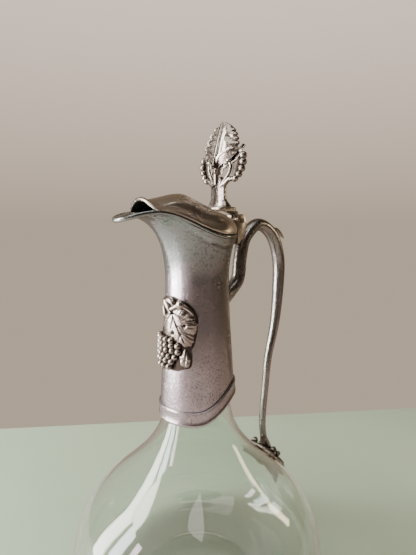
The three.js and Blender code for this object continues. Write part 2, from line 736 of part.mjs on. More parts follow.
function terminalBerry(l, up) {
  const seat = glassSeat();
  const centre = seat.centre.clone().addScaledVector(seat.up, up).add(vec(0, -l, 0));
  const lift = 3 * GAP + PAD_THICK + PLATE_THICK;
  centre.addScaledVector(seat.out, lift + BERRY_R * 0.45);
  return cut(ball(BERRY_R, centre), glassForm(lift));
}

// ---------- grape badge on the sleeve ----------
// A prism of an outline (a sideways, b up, both from the badge's middle) along X through the sleeve's front.
function badgePrism(outline) {
  const shape = new THREE.Shape(outline.map(([a, b]) => new THREE.Vector2(a, b)));
  const geometry = new THREE.ExtrudeGeometry(shape, { depth: 40, bevelEnabled: false, curveSegments: 6 });
  const basis = new THREE.Matrix4().makeBasis(vec(0, -1, 0), vec(0, 0, 1), vec(-1, 0, 0));
  geometry.applyMatrix4(basis);
  geometry.translate(0, 0, BADGE_Z);
  return closed(geometry);
}

// Sideways place on the sleeve's front for an arc length round the badge.
const BADGE_ROUND = neckRadius(BADGE_Z) + 1;
const chord = (arc) => BADGE_ROUND * Math.sin(arc / BADGE_ROUND);

function badgePiece(outline, low, high) {
  const layer = cut(sleeveForm(high), sleeveForm(low));
  return common(badgePrism(outline.map(([a, b]) => [chord(a), b])), layer);
}

// Removes a neighbour's outline, with the clearance round it, from a badge piece.
function clearOf(geometry, outline) {
  const moves = [[GAP, 0], [-GAP, 0], [0, GAP], [0, -GAP]];
  const moved = ([da, db]) => badgePrism(outline.map(([a, b]) => [chord(a) + da, b + db]));
  return moves.reduce((rest, move) => cut(rest, moved(move)), geometry);
}

const BADGE_LEAF = [[2.5, 12.5], [7, 15.5], [13, 14.8], [15.5, 11], [19.4, 8], [17.5, 2.5],
  [17.6, -2], [13.5, -4], [12.5, -7.5], [7.5, -5], [2, -2.2], [-4, -2.2],
  [-7.6, -0.6], [-6.4, 4], [-3, 7], [-1.5, 10.5]];
const BADGE_TWIG = [[-5.4, 20.5], [-3.2, 21.4], [1.5, 18.4], [6.5, 18.8], [9.4, 20.2], [11.4, 18.6],
  [9.6, 16.6], [4.8, 16.2], [0.4, 15.8], [-2.6, 17.4], [-4.6, 18.8]];
const BADGE_SMALL_LEAF = [[13, -9.2], [16.2, -10.6], [17.2, -14], [15.6, -17.4], [13.4, -20],
  [11.4, -17], [11.6, -13.6]];

const badgeLeaf = () => badgePiece(BADGE_LEAF, GAP, GAP + BADGE_THICK);
const badgeTwig = () => clearOf(badgePiece(BADGE_TWIG, GAP, GAP + BADGE_THICK), BADGE_LEAF);
const badgeSmallLeaf = () => badgePiece(BADGE_SMALL_LEAF, GAP, GAP + BADGE_THICK * 0.8);

// Rows of grapes hanging to a point, fused at their backs; each is a coarse ball.
function badgeGrapes() {
  const pitch = GRAPE_R * 1.85;
  const rowCounts = [6, 6, 5, 4, 3, 2];
  const grapes = [];
  rowCounts.forEach((count, row) => {
    const b = -5.6 - row * pitch * 0.8;
    const shift = -2.2 + row * 0.7;
    const first = row === 0 ? -0.5 : 0;
    for (let i = 0; i < count; i += 1) {
      const arc = shift + (i - (count - 1) / 2) * pitch + first;
      const z = BADGE_Z + b;
      const r = neckRadius(z) + GAP + GRAPE_R * 0.75;
      const angle = Math.asin(chord(arc) / r);
      grapes.push(ball(GRAPE_R * 1.1, vec(-r * Math.cos(angle), -r * Math.sin(angle), z), 0));
    }
  });
  return [BADGE_LEAF, BADGE_SMALL_LEAF].reduce(clearOf, cut(join(grapes), sleeveForm(GAP)));
}

// ---------- assembly ----------
const jug = new THREE.Group();
const metal = (color, roughness) => new THREE.MeshStandardMaterial({ color, roughness, metalness: 1 });

function add(parent, name, geometry, material) {
  geometry.computeVertexNormals();
  const mesh = new THREE.Mesh(geometry, material);
  mesh.name = name;
  parent.add(mesh);
}

const glass = new THREE.MeshStandardMaterial({
  color: 0xe6efec, roughness: 0.02, metalness: 0, transparent: true, opacity: 0.3,
});
const plaster = new THREE.MeshStandardMaterial({ color: 0xcfc6b4, roughness: 0.9, metalness: 0 });
const adhesive = new THREE.MeshStandardMaterial({ color: 0x8b7a5e, roughness: 0.6, metalness: 0 });

add(jug, 'glass_body', glassBody(), glass);
add(jug, 'neck_plaster', plasterFill(), plaster);
add(jug, 'neck_sleeve', neckSleeve(), metal(0x8f938f, 0.38));
add(jug, 'collar_band', collarBand(), metal(0x8a8c88, 0.4));

add(jug, 'handle', handle(), metal(0x8d8983, 0.36));
add(jug, 'adhesive_pad', adhesivePad(), adhesive);
add(jug, 'handle_leaf_plate', leafPlate(), metal(0x7e7b74, 0.42));
add(jug, 'terminal_berry_near', terminalBerry(9, 8), metal(0x85827b, 0.4));
add(jug, 'terminal_berry_far', terminalBerry(-9, 8), metal(0x85827b, 0.4));

const badge = new THREE.Group();
add(badge, 'badge_twig', badgeTwig(), metal(0x8c8a84, 0.4));
add(badge, 'badge_vine_leaf', badgeLeaf(), metal(0x8f8d87, 0.38));
add(badge, 'badge_small_leaf', badgeSmallLeaf(), metal(0x7c7a74, 0.42));
add(badge, 'badge_grapes', badgeGrapes(), metal(0x86847e, 0.36));
jug.add(badge);

add(jug, 'hinge_knuckle_near', sleeveKnuckle(-1), metal(0x857e74, 0.4));
add(jug, 'hinge_knuckle_far', sleeveKnuckle(1), metal(0x857e74, 0.4));
add(jug, 'hinge_pin', hingePin(), metal(0x6f6a62, 0.45));

const lid = new THREE.Group();
add(lid, 'lid_shell', lidShell(), metal(0x8e857b, 0.4));
add(lid, 'lid_knuckle', lidKnuckle(), metal(0x857e74, 0.4));
add(lid, 'thumbpiece_stem', thumbStem(), metal(0x96918a, 0.3));
add(lid, 'thumbpiece_leaf', thumbLeaf(), metal(0xa5a29c, 0.28));
add(lid, 'thumbpiece_scroll_near', thumbScroll(1), metal(0x9a968f, 0.3));
add(lid, 'thumbpiece_scroll_far', thumbScroll(-1), metal(0x9a968f, 0.3));
add(lid, 'thumbpiece_beads_near', thumbBeads(1), metal(0xa29f98, 0.28));
add(lid, 'thumbpiece_beads_far', thumbBeads(-1), metal(0xa29f98, 0.28));
jug.add(lid);

export default jug;
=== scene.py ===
"""Pewter-mounted glass claret jug: a blown globe, a pewter neck sleeve with a pouring lip, a hinged
beaked lid with a leaf thumbpiece, and a cast S handle glued to the glass by a leaf.

Lengths are in millimetres and MM turns them into Blender's metres. The spout points to -X and the
handle to +X. Near is the -Y side. Along the jug, s runs towards the spout and l towards the near side.
"""
import math
import bmesh
import bpy
from mathutils import Matrix, Vector, noise


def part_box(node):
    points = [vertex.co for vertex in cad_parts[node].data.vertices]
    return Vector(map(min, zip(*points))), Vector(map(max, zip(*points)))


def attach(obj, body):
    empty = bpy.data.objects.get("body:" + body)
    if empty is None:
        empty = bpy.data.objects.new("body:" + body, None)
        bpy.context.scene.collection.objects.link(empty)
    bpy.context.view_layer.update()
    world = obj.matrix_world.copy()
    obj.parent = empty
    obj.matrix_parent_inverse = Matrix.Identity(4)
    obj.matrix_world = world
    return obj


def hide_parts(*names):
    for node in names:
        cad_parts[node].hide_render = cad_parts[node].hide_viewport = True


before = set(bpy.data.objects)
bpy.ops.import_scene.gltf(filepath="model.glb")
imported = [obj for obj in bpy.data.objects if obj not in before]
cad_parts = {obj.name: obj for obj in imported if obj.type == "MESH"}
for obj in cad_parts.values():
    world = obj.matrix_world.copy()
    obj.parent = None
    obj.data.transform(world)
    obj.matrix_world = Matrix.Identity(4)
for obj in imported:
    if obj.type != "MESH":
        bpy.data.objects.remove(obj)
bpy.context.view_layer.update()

MM = 0.001
TAU = 2 * math.pi


# ---------- sizes from the frame ----------
def low(node):
    """A node's lowest corner, in millimetres."""
    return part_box(node)[0] / MM


def high(node):
    """A node's highest corner, in millimetres."""
    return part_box(node)[1] / MM


SLEEVE_BOTTOM = low("neck_sleeve").z
LIP_TIP = -low("neck_sleeve").x
HINGE = (low("hinge_pin") + high("hinge_pin")) / 2
THUMB_TOP = high("thumbpiece_leaf").z
STEM_TOP = high("thumbpiece_stem").z
GLASS_TOP = high("glass_body").z
BELLY_R = high("glass_body").y
SPUR_TIP = high("handle").x

# ---------- sizes of the pieces ----------
BASE_R = 42
BELLY_Z = 30
SHOULDER_R = 55  # where the globe's outline turns from swelling to hollow
SHOULDER_Z = 75.6
GLASS_WALL = 2.2
GLASS_FLOOR = 7
THROAT_R = 21.9

WAIST_Z = GLASS_TOP
WAIST_R = 19.8
SLEEVE_BOTTOM_R = 23.6
SLEEVE_WALL = 1.7
RIM_R = 24.5
RIM_REAR_Z = WAIST_Z + 26
RIM_RISE = 12.4
RIM_BEAD_R = 1.25
LIP_TIP_R = 11
LIP_CENTRE = LIP_TIP - LIP_TIP_R
LIP_DROOP = 5.2
LIP_DROOP_FROM = 36

BAND_HEIGHT = 9
BAND_THICK = 1.0
BAND_RISE = 13.5

LID_WALL = 1.6
LID_SEAT = 0.6
LID_TOP_REAR = RIM_REAR_Z + 13
DOME_CROWN = 15  # how far towards the spout the dome is highest
DOME_RISE = 11.3
DOME_RUN_FRONT = 30
DOME_RUN_REAR = 15
HOOD_START = 36
HOOD_RISE = 6.4

KNUCKLE_R = 4.1
LID_EYE_WIDTH = 8
JUG_EYE_WIDTH = 5.6
JUG_EYE_OFF = 7.1

STEM_X = 17
THUMB_LEAF_HALF = 14
BADGE_Z = WAIST_Z - 31
GRAPE_R = 2.0
GRAPE_PITCH = 4.0
GRAPE_ROW = 3.15
PLATE_Z = SHOULDER_Z - 12.7
PLATE_REACH = 18.5
HANDLE_DEEP = 4.2  # half its depth and half its width at the arch
HANDLE_WIDE = 5
SPUR_HALF = 3.4

# ---------- the room ----------
CAMERA_AT = (-159.4, -200.5, 239.2)
CAMERA_DOWN = 7.5
CAMERA_TURN = 40
AHEAD = (0.643, 0.766)  # the camera's level heading
TABLE_LONG = 1.9  # metres, as are the next two
TABLE_DEEP = 1.25
TABLE_FAR_EDGE = 0.226
TABLE_TURN = 6.2


# ---------- small maths ----------
def clamp01(t):
    return min(1, max(0, t))


def ease(t):
    """A smooth step from 0 to 1."""
    return 0.5 - 0.5 * math.cos(math.pi * clamp01(t))


def mix(a, b, t):
    return a + (b - a) * t


def bump(x, width):
    """A bell of height 1 round x = 0."""
    return math.exp(-((x / width) ** 2))


def bezier(p0, p1, p2, p3, t):
    k = 1 - t
    return p0 * k ** 3 + p1 * (3 * k * k * t) + p2 * (3 * k * t * t) + p3 * t ** 3


def smooth_path(points, steps):
    """Points along a smooth line through the given points, evenly parted."""
    fine = []
    ends = [points[0] * 2 - points[1]] + points + [points[-1] * 2 - points[-2]]
    for a, b, c, d in zip(ends, ends[1:], ends[2:], ends[3:]):
        for i in range(24):
            t = i / 24
            fine.append(0.5 * (2 * b + (c - a) * t + (2 * a - 5 * b + 4 * c - d) * t * t
                               + (3 * b - 3 * c + d - a) * t ** 3))
    fine.append(points[-1])
    run = [0.0]
    for a, b in zip(fine, fine[1:]):
        run.append(run[-1] + (b - a).length)
    out = []
    j = 0
    for i in range(steps + 1):
        want = run[-1] * i / steps
        while j < len(run) - 2 and run[j + 1] < want:
            j += 1
        out.append(fine[j].lerp(fine[j + 1], clamp01((want - run[j]) / max(1e-9, run[j + 1] - run[j]))))
    return out


# ---------- modelling ----------
def start_editing(add, **settings):
    """Adds a primitive with nothing else selected, and opens it in edit mode."""
    bpy.ops.object.select_all(action="DESELECT")
    add(**settings)
    bpy.ops.object.mode_set(mode="EDIT")
    return bpy.context.object


def close_up(obj, name, crease=35):
    """Welds a form, turns its faces outwards, and shades it smooth up to the crease angle."""
    bpy.ops.object.mode_set(mode="EDIT")
    bpy.ops.mesh.select_all(action="SELECT")
    bpy.ops.mesh.remove_doubles(threshold=0.02 * MM)
    bpy.ops.mesh.normals_make_consistent(inside=False)
    bpy.ops.object.mode_set(mode="OBJECT")
    for word in ("turn", "step"):
        if word in obj.data.attributes:
            obj.data.attributes.remove(obj.data.attributes[word])
    bpy.ops.object.select_all(action="DESELECT")
    obj.select_set(True)
    bpy.context.view_layer.objects.active = obj
    bpy.ops.object.transform_apply(location=True, rotation=True, scale=True)
    bpy.ops.object.shade_smooth_by_angle(angle=math.radians(crease))
    obj.name = obj.data.name = name
    return obj


def draw_up(name, rows, close_first=True, close_last=True, crease=35):
    """A form drawn up from a circle, ring by ring, each ring laid on its own row of points."""
    obj = start_editing(bpy.ops.mesh.primitive_circle_add, vertices=len(rows[0]), radius=MM)
    mesh = bmesh.from_edit_mesh(obj.data)
    turn = mesh.verts.layers.int.new("turn")
    step = mesh.verts.layers.int.new("step")
    for i, vert in enumerate(mesh.verts):
        vert[turn] = i
        vert.co = Vector(rows[0][i]) * MM
    for number, row in enumerate(rows[1:], 1):
        bpy.ops.mesh.extrude_region_move()
        mesh = bmesh.from_edit_mesh(obj.data)
        turn = mesh.verts.layers.int["turn"]
        step = mesh.verts.layers.int["step"]
        for vert in mesh.verts:
            if vert.select:
                vert[step] = number
                vert.co = Vector(row[vert[turn]]) * MM
    for number, wanted in ((len(rows) - 1, close_last), (0, close_first)):
        if not wanted:
            continue
        bpy.ops.mesh.select_all(action="DESELECT")
        mesh = bmesh.from_edit_mesh(obj.data)
        step = mesh.verts.layers.int["step"]
        for edge in mesh.edges:
            if all(vert[step] == number for vert in edge.verts):
                edge.select_set(True)
        bpy.ops.mesh.edge_face_add()
        bpy.ops.mesh.poke()
    return close_up(obj, name, crease)


def turned(name, profile, steps):
    """A form spun round the upright axis from its profile of (radius, height), as on a lathe."""
    obj = start_editing(bpy.ops.mesh.primitive_plane_add, size=MM)
    bpy.ops.mesh.merge(type="CENTER")
    for number, (radius, height) in enumerate(profile):
        if number:
            bpy.ops.mesh.extrude_region_move()
        mesh = bmesh.from_edit_mesh(obj.data)
        for vert in mesh.verts:
            if vert.select:
                vert.co = Vector((radius, 0, height)) * MM
    bpy.ops.mesh.select_all(action="SELECT")
    bpy.ops.mesh.spin(steps=steps, angle=TAU, center=(0, 0, 0), axis=(0, 0, 1))
    return close_up(obj, name)


def rod(name, points, radii, side, steps=24, around=14, flat=1.0):
    """A rod along a smooth path: radii run from its start to its end, and flat widens it along side."""
    path = smooth_path([Vector(p) for p in points], steps)
    rows = []
    for i, centre in enumerate(path):
        along = (path[min(i + 1, steps)] - path[max(i - 1, 0)]).normalized()
        across = (side - along * side.dot(along)).normalized()
        third = along.cross(across)
        place = i / steps * (len(radii) - 1)
        part = min(int(place), len(radii) - 2)
        radius = mix(radii[part], radii[part + 1], ease(place - part))
        row = []
        for k in range(around):
            a = TAU * k / around
            row.append(centre + (across * math.cos(a) * flat + third * math.sin(a)) * radius)
        rows.append(row)
    return draw_up(name, rows, crease=50)


def cast_bead():
    """One cast bead of 1 mm radius with a small nub on its +X side. Every berry, bead, knob and grape is
    its copy."""
    obj = start_editing(bpy.ops.mesh.primitive_cube_add, size=2 * MM)
    bpy.ops.mesh.subdivide(number_cuts=7)
    bpy.ops.transform.tosphere(value=1)
    mesh = bmesh.from_edit_mesh(obj.data)
    for vert in mesh.verts:
        point = vert.co.normalized()
        off = math.hypot(point.y, point.z)
        nub = 0.07 * bump(off, 0.16) - 0.05 * bump(off - 0.3, 0.1) if point.x > 0 else 0
        vert.co = point * (1 + nub) * MM
    return close_up(obj, "bead_pattern", 60)


def ball(name, centre, radius, squash=(1, 1, 1), facing=(-1, 0, 0)):
    """A copy of the bead, sized, laid at its place, with its nub turned to facing."""
    bead = bpy.data.objects.new(name, bead_pattern.data.copy())
    bpy.context.collection.objects.link(bead)
    turn = Vector((1, 0, 0)).rotation_difference(Vector(facing)).to_matrix().to_4x4()
    size = Matrix.Diagonal((*[radius * part for part in squash], 1))
    bead.data.transform(Matrix.Translation(Vector(centre) * MM) @ size @ turn)
    return bead


def joined(name, parts, crease=45):
    """Joins parts into one piece, shaded smooth up to the crease angle."""
    bpy.ops.object.select_all(action="DESELECT")
    bpy.context.view_layer.update()
    for part in parts:
        part.select_set(True)
    bpy.context.view_layer.objects.active = parts[0]
    bpy.ops.object.join()
    whole = parts[0]
    bpy.ops.object.shade_smooth_by_angle(angle=math.radians(crease))
    whole.name = whole.data.name = name
    return whole


def painted(obj, material):
    """Gives a part its own finish before it is joined to others."""
    obj.data.materials.append(material)
    return obj


def settle(obj, body, slot, material, *nodes):
    """Gives a finished piece its body and its finish, and hides the nodes that it stands for. The slot
    argument is not used. A piece whose parts were painted before they were joined keeps their finishes."""
    if not obj.data.materials:
        obj.data.materials.append(material)
    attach(obj, body)
    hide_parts(*nodes)


def refinish(node, material):
    """Gives a node that stays as it is a better finish."""
    for material_slot in bpy.data.objects[node].material_slots:
        material_slot.material = material


def sheet_rings(rings, under, over):
    """The rings of a thin sheet as (share of its radius, level): out along its underside, back over
    its top."""
    outward = [(q / rings, under) for q in range(1, rings + 1)]
    return outward + [(q / rings, over) for q in range(rings, 0, -1)]


# ---------- finishes ----------
def linear(code):
    """An sRGB hex colour as linear RGBA."""
    parts = [int(code[i:i + 2], 16) / 255 for i in (1, 3, 5)]
    return tuple(c / 12.92 if c <= 0.04045 else ((c + 0.055) / 1.055) ** 2.4 for c in parts) + (1,)


def add(tree, kind, inputs=None, stops=(), **settings):
    """Adds a node: settings are its own, inputs are values or sockets to link from, and stops are a
    colour ramp's (place, colour) pairs."""
    made = tree.nodes.new("ShaderNode" + kind)
    for word, value in settings.items():
        setattr(made, word, value)
    for number, (position, colour) in enumerate(stops):
        elements = made.color_ramp.elements
        element = elements[number] if number < 2 else elements.new(position)
        element.position, element.color = position, colour
    for socket, value in (inputs or {}).items():
        if isinstance(value, bpy.types.NodeSocket):
            tree.links.new(value, made.inputs[socket])
        else:
            made.inputs[socket].default_value = value
    return made


def new_material(name):
    """An empty material and its node tree."""
    material = bpy.data.materials.new(name)
    material.use_nodes = True
    tree = material.node_tree
    tree.nodes.clear()
    return material, tree


def grey(value):
    """A value as a colour, for a ramp that makes a mask."""
    return (value, value, value, 1)


def pewter(name, bright, dull, patina, rough, pits=0.5, recess=0.0, recess_reach=2.0, grain=0.04,
           patina_and_reflection_from=None, handle_side_reflection=0.0):
    """Cast pewter, rubbed bright in places and dulled by age. Bright and dull are the metal's two tones,
    and patina is the tint of its blotches, thicker above a given height, where they also paint the green
    table's reflection up the flare. Pits darken it by that share, and recess paints shade that blackens
    its hollows out to recess_reach. Grain is the height of the cast skin in millimetres. The last argument
    is the share of a painted brown reflection of the dark room on the side towards the handle."""
    material, tree = new_material(name)
    place = add(tree, "TexCoord").outputs["Object"]
    clouds = add(tree, "TexNoise", {"Vector": place, "Scale": 1 / (16 * MM), "Detail": 6, "Roughness": 0.62})
    stains = add(tree, "TexNoise", {"Vector": place, "Scale": 1 / (38 * MM), "Detail": 5, "Roughness": 0.6})
    specks = add(tree, "TexNoise", {"Vector": place, "Scale": 1 / (1.0 * MM), "Detail": 4,
                                    "Roughness": 0.75})
    skin = add(tree, "TexNoise", {"Vector": place, "Scale": 1 / (0.9 * MM), "Detail": 4, "Roughness": 0.6})
    cloudy = add(tree, "ValToRGB", {"Fac": clouds.outputs["Fac"]}, stops=[(0.38, grey(0)), (0.66, grey(1))])
    tone = add(tree, "Mix", {"Factor": cloudy.outputs["Color"], "A": linear(dull), "B": linear(bright)},
               data_type="RGBA")
    stain = stains.outputs["Fac"]
    if patina_and_reflection_from is not None:
        # Partly painted reflection: the patina blotches thicken up the flare, standing in for the green table
        # that the flare mirrors.
        height = add(tree, "SeparateXYZ", {"Vector": place}).outputs["Z"]
        flare_patina_and_reflection = add(tree, "MapRange", {"Value": height, "From Min": patina_and_reflection_from * MM,
                                       "From Max": (patina_and_reflection_from + 22) * MM,
                                       "To Min": -0.12, "To Max": 0.2})
        stain = add(tree, "Math", {0: stain, 1: flare_patina_and_reflection.outputs["Result"]}, operation="ADD").outputs[0]
    stained = add(tree, "ValToRGB", {"Fac": stain}, stops=[(0.42, grey(0)), (0.72, grey(0.9))])
    aged = add(tree, "Mix", {"Factor": stained.outputs["Color"], "A": tone.outputs["Result"],
                             "B": linear(patina)}, data_type="RGBA")
    # Painted reflection: a ragged brown darkening on the side towards the handle stands in for the dark room
    # mirrored there.
    if handle_side_reflection:
        across = add(tree, "SeparateXYZ", {"Vector": place}).outputs["X"]
        ragged = add(tree, "Math", {0: clouds.outputs["Fac"], 1: 12 * MM, 2: across},
                     operation="MULTIPLY_ADD")
        painted_reflection = add(tree, "MapRange", {"Value": ragged.outputs[0], "From Min": -5 * MM, "From Max": 15 * MM,
                                      "To Max": handle_side_reflection})
        aged = add(tree, "Mix", {"Factor": painted_reflection.outputs["Result"], "A": aged.outputs["Result"],
                                 "B": linear("#62563f")}, data_type="RGBA")
    pitted = add(tree, "ValToRGB", {"Fac": specks.outputs["Fac"]},
                 stops=[(0.34, grey(pits)), (0.45, grey(0))])
    colour = add(tree, "Mix", {"Factor": pitted.outputs["Color"], "A": aged.outputs["Result"],
                               "B": linear("#2b2a27")}, data_type="RGBA").outputs["Result"]
    rough_map = add(tree, "MapRange", {"Value": clouds.outputs["Fac"], "From Min": 0.3, "From Max": 0.7,
                                       "To Min": rough + 0.07, "To Max": rough - 0.05}).outputs["Result"]
    if recess:
        # Painted shade: ambient occlusion blackens hollows, undercuts and the corners where parts meet.
        hollow = add(tree, "AmbientOcclusion", {"Distance": recess_reach * MM}, samples=8)
        black = add(tree, "ValToRGB", {"Fac": hollow.outputs["AO"]},
                    stops=[(0.36, grey(recess)), (0.8, grey(0))]).outputs["Color"]
        colour = add(tree, "Mix", {"Factor": black, "A": colour, "B": linear("#1d1a18")},
                     data_type="RGBA").outputs["Result"]
        rough_map = add(tree, "Math", {0: rough_map, 1: black}, operation="ADD", use_clamp=True).outputs[0]
    relief = add(tree, "Bump", {"Height": skin.outputs["Fac"], "Strength": 0.35, "Distance": grain * MM})
    dented = add(tree, "ValToRGB", {"Fac": specks.outputs["Fac"]}, stops=[(0.34, grey(0)), (0.45, grey(1))])
    dents = add(tree, "Bump", {"Height": dented.outputs["Color"], "Strength": 0.5, "Distance": 0.12 * MM,
                               "Normal": relief.outputs["Normal"]})
    shader = add(tree, "BsdfPrincipled", {"Base Color": colour, "Metallic": 1.0, "Roughness": rough_map,
                                          "Normal": dents.outputs["Normal"]})
    add(tree, "OutputMaterial", {"Surface": shader.outputs["BSDF"]})
    return material


# The sleeve's pewter is a satin mirror: lilac-grey, pitted, with a grey-green bloom up its flare that also
# paints the green table's reflection there, a painted brown reflection of the dark room towards the handle,
# and painted shade in its hollows.
sleeve_pewter = pewter("sleeve_pewter_aged", "#cac3c6", "#aea6a8", "#949f9c", 0.22, pits=0.6, recess=0.9,
                       recess_reach=1.6, patina_and_reflection_from=WAIST_Z - 4, handle_side_reflection=0.6)
# The lid has browned where hands lift it, and painted shade darkens its hollows.
lid_pewter = pewter("lid_pewter_browned", "#d4c9bc", "#b9ad9f", "#bdb1a3", 0.28, pits=0.6, recess=0.8,
                    recess_reach=1.4)
# The handle is rubbed smooth by use, so its reflections are longer and cleaner.
handle_pewter = pewter("handle_pewter_handled", "#a5a19c", "#86827d", "#8e8a84", 0.24, pits=0.4)
# The thumbpiece is polished on its high spots, and painted shade blackens its undercuts.
thumb_pewter = pewter("thumbpiece_pewter_polished", "#aca59b", "#8b837a", "#968d83", 0.2, pits=0.25,
                      recess=1.0, recess_reach=3.4)
# The badge is oxidised pewter: bright crowns, with painted shade blackening the hollows between them.
badge_pewter = pewter("badge_pewter_oxidised_and_hollow_shaded", "#bcb3aa", "#988e86", "#a2978e", 0.22, pits=0.2,
                      recess=1.0, recess_reach=2.2)
# Painted shade: flat, almost black metal for the ground behind scrolls and fruit, standing for the shade
# between them.
shade_sheet_pewter = pewter("cast_ground_painted_shade", "#514941", "#38322c", "#453e37", 0.42, pits=0.3)
# The leaf on the glass is the same casting as the handle, dulled, with painted shade darkening its veins.
plate_pewter = pewter("leaf_plate_pewter_dulled", "#938d84", "#746e66", "#807970", 0.32, pits=0.4,
                      recess=0.9, recess_reach=1.6)


def turned_steel():
    """A worn steel pin: darker and harder than pewter, with a low sheen."""
    material, tree = new_material("hinge_pin_steel_worn")
    place = add(tree, "TexCoord").outputs["Object"]
    wear = add(tree, "TexNoise", {"Vector": place, "Scale": 1 / (1.2 * MM), "Detail": 3})
    colour = add(tree, "ValToRGB", {"Fac": wear.outputs["Fac"]},
                 stops=[(0.35, linear("#5d5850")), (0.65, linear("#8b857b"))])
    shader = add(tree, "BsdfPrincipled", {"Base Color": colour.outputs["Color"], "Metallic": 1.0,
                                          "Roughness": 0.38})
    add(tree, "OutputMaterial", {"Surface": shader.outputs["BSDF"]})
    return material


def blown_glass():
    """Clear blown soda glass: faintly green, with a slight waviness from the mould."""
    material, tree = new_material("blown_soda_glass")
    place = add(tree, "TexCoord").outputs["Object"]
    waves = add(tree, "TexNoise", {"Vector": place, "Scale": 1 / (45 * MM), "Detail": 1})
    relief = add(tree, "Bump", {"Height": waves.outputs["Fac"], "Strength": 0.25, "Distance": 0.5 * MM})
    shader = add(tree, "BsdfPrincipled", {"Base Color": linear("#f7fbf8"), "Roughness": 0.0, "IOR": 1.5,
                                          "Transmission Weight": 1.0, "Normal": relief.outputs["Normal"]})
    add(tree, "OutputMaterial", {"Surface": shader.outputs["BSDF"]})
    return material


def set_plaster():
    """Plaster of Paris that beds the sleeve: chalky, off-white, with a granular skin."""
    material, tree = new_material("set_plaster")
    place = add(tree, "TexCoord").outputs["Object"]
    grit = add(tree, "TexNoise", {"Vector": place, "Scale": 1 / (0.8 * MM), "Detail": 4})
    colour = add(tree, "ValToRGB", {"Fac": grit.outputs["Fac"]},
                 stops=[(0.3, linear("#b9ae9a")), (0.7, linear("#ddd5c6"))]).outputs["Color"]
    relief = add(tree, "Bump", {"Height": grit.outputs["Fac"], "Strength": 0.5, "Distance": 0.15 * MM})
    shader = add(tree, "BsdfPrincipled", {"Base Color": colour, "Roughness": 0.9,
                                          "Normal": relief.outputs["Normal"]})
    add(tree, "OutputMaterial", {"Surface": shader.outputs["BSDF"]})
    return material


def aged_glue():
    """Old adhesive: grey where it holds, brown where it has crept out and yellowed."""
    material, tree = new_material("aged_adhesive")
    place = add(tree, "TexCoord").outputs["Object"]
    blots = add(tree, "TexNoise", {"Vector": place, "Scale": 1 / (5 * MM), "Detail": 5, "Roughness": 0.65})
    colour = add(tree, "ValToRGB", {"Fac": blots.outputs["Fac"]},
                 stops=[(0.36, linear("#6f5c40")), (0.5, linear("#8d8578")),
                        (0.64, linear("#b3ada0"))]).outputs["Color"]
    relief = add(tree, "Bump", {"Height": blots.outputs["Fac"], "Strength": 0.6, "Distance": 0.4 * MM})
    shader = add(tree, "BsdfPrincipled", {"Base Color": colour, "Roughness": 0.5,
                                          "Normal": relief.outputs["Normal"]})
    add(tree, "OutputMaterial", {"Surface": shader.outputs["BSDF"]})
    return material


def mirror_rays(tree):
    """A mask of the rays that metal mirrors, and not those that glass bends, which count as glossy too."""
    path = add(tree, "LightPath").outputs
    return add(tree, "Math", {0: path["Is Glossy Ray"], 1: path["Is Transmission Ray"]},
               operation="SUBTRACT", use_clamp=True).outputs[0]


# ---------- glass ----------
def glass_outline(steps=22):
    """Outside of the globe as (radius, height) vectors, from the foot's edge to the throat."""
    slope = Vector((-14, 11.9)).normalized() * 18.4
    shoulder = Vector((SHOULDER_R, SHOULDER_Z))
    belly = Vector((BELLY_R, BELLY_Z))
    throat = Vector((THROAT_R, SLEEVE_BOTTOM))
    spans = [
        (Vector((BASE_R, 0)), Vector((BASE_R + 20, 0)), Vector((BELLY_R, BELLY_Z - 20)), belly),
        (belly, Vector((BELLY_R, BELLY_Z + 20)), shoulder - slope, shoulder),
        (shoulder, shoulder + slope, Vector((THROAT_R + 3.9, SLEEVE_BOTTOM - 18)), throat),
    ]
    outline = [bezier(*span, i / steps) for span in spans for i in range(steps)]
    for i in range(13):
        t = i / 12
        neck_r = WAIST_R - SLEEVE_WALL - 1.7
        outline.append(Vector((mix(neck_r, THROAT_R, (1 - clamp01(t * 87 / 56)) ** 2.2),
                               mix(SLEEVE_BOTTOM, GLASS_TOP, t))))
    return outline


def shifted(outline, distance):
    """An open outline moved sideways, outwards where distance is positive."""
    moved = []
    for i, point in enumerate(outline):
        along = (outline[min(i + 1, len(outline) - 1)] - outline[max(i - 1, 0)]).normalized()
        moved.append(point + Vector((along.y, -along.x)) * distance)
    return moved


def make_glass():
    """The globe and its neck in one wall, with a dished foot and a rounded lip."""
    outside = glass_outline()
    inside = [p for p in shifted(outside, -GLASS_WALL) if p.y > GLASS_FLOOR + 1]
    foot = [(0, 1.6), (BASE_R - 10, 1.3), (BASE_R - 6, 0.2), (BASE_R - 3.5, 0)]
    lip = outside[-1]
    rim = [(lip.x - 0.5, lip.y), (lip.x - GLASS_WALL + 0.5, lip.y)]
    floor_r = inside[0].x
    bowl = [(floor_r * math.cos(a), mix(inside[0].y, GLASS_FLOOR - 1.5, math.sin(a) ** 0.8))
            for a in [math.pi / 2 * i / 12 for i in range(1, 13)]]
    profile = foot + [tuple(p) for p in outside[:-1]] + [(lip.x, lip.y - 0.5)] + rim
    profile += [tuple(p) for p in reversed(inside[:-1])] + bowl
    glass = turned("glass_globe_and_neck", profile, 128)
    settle(glass, "jug", "clear_glass", blown_glass(), "glass_body")


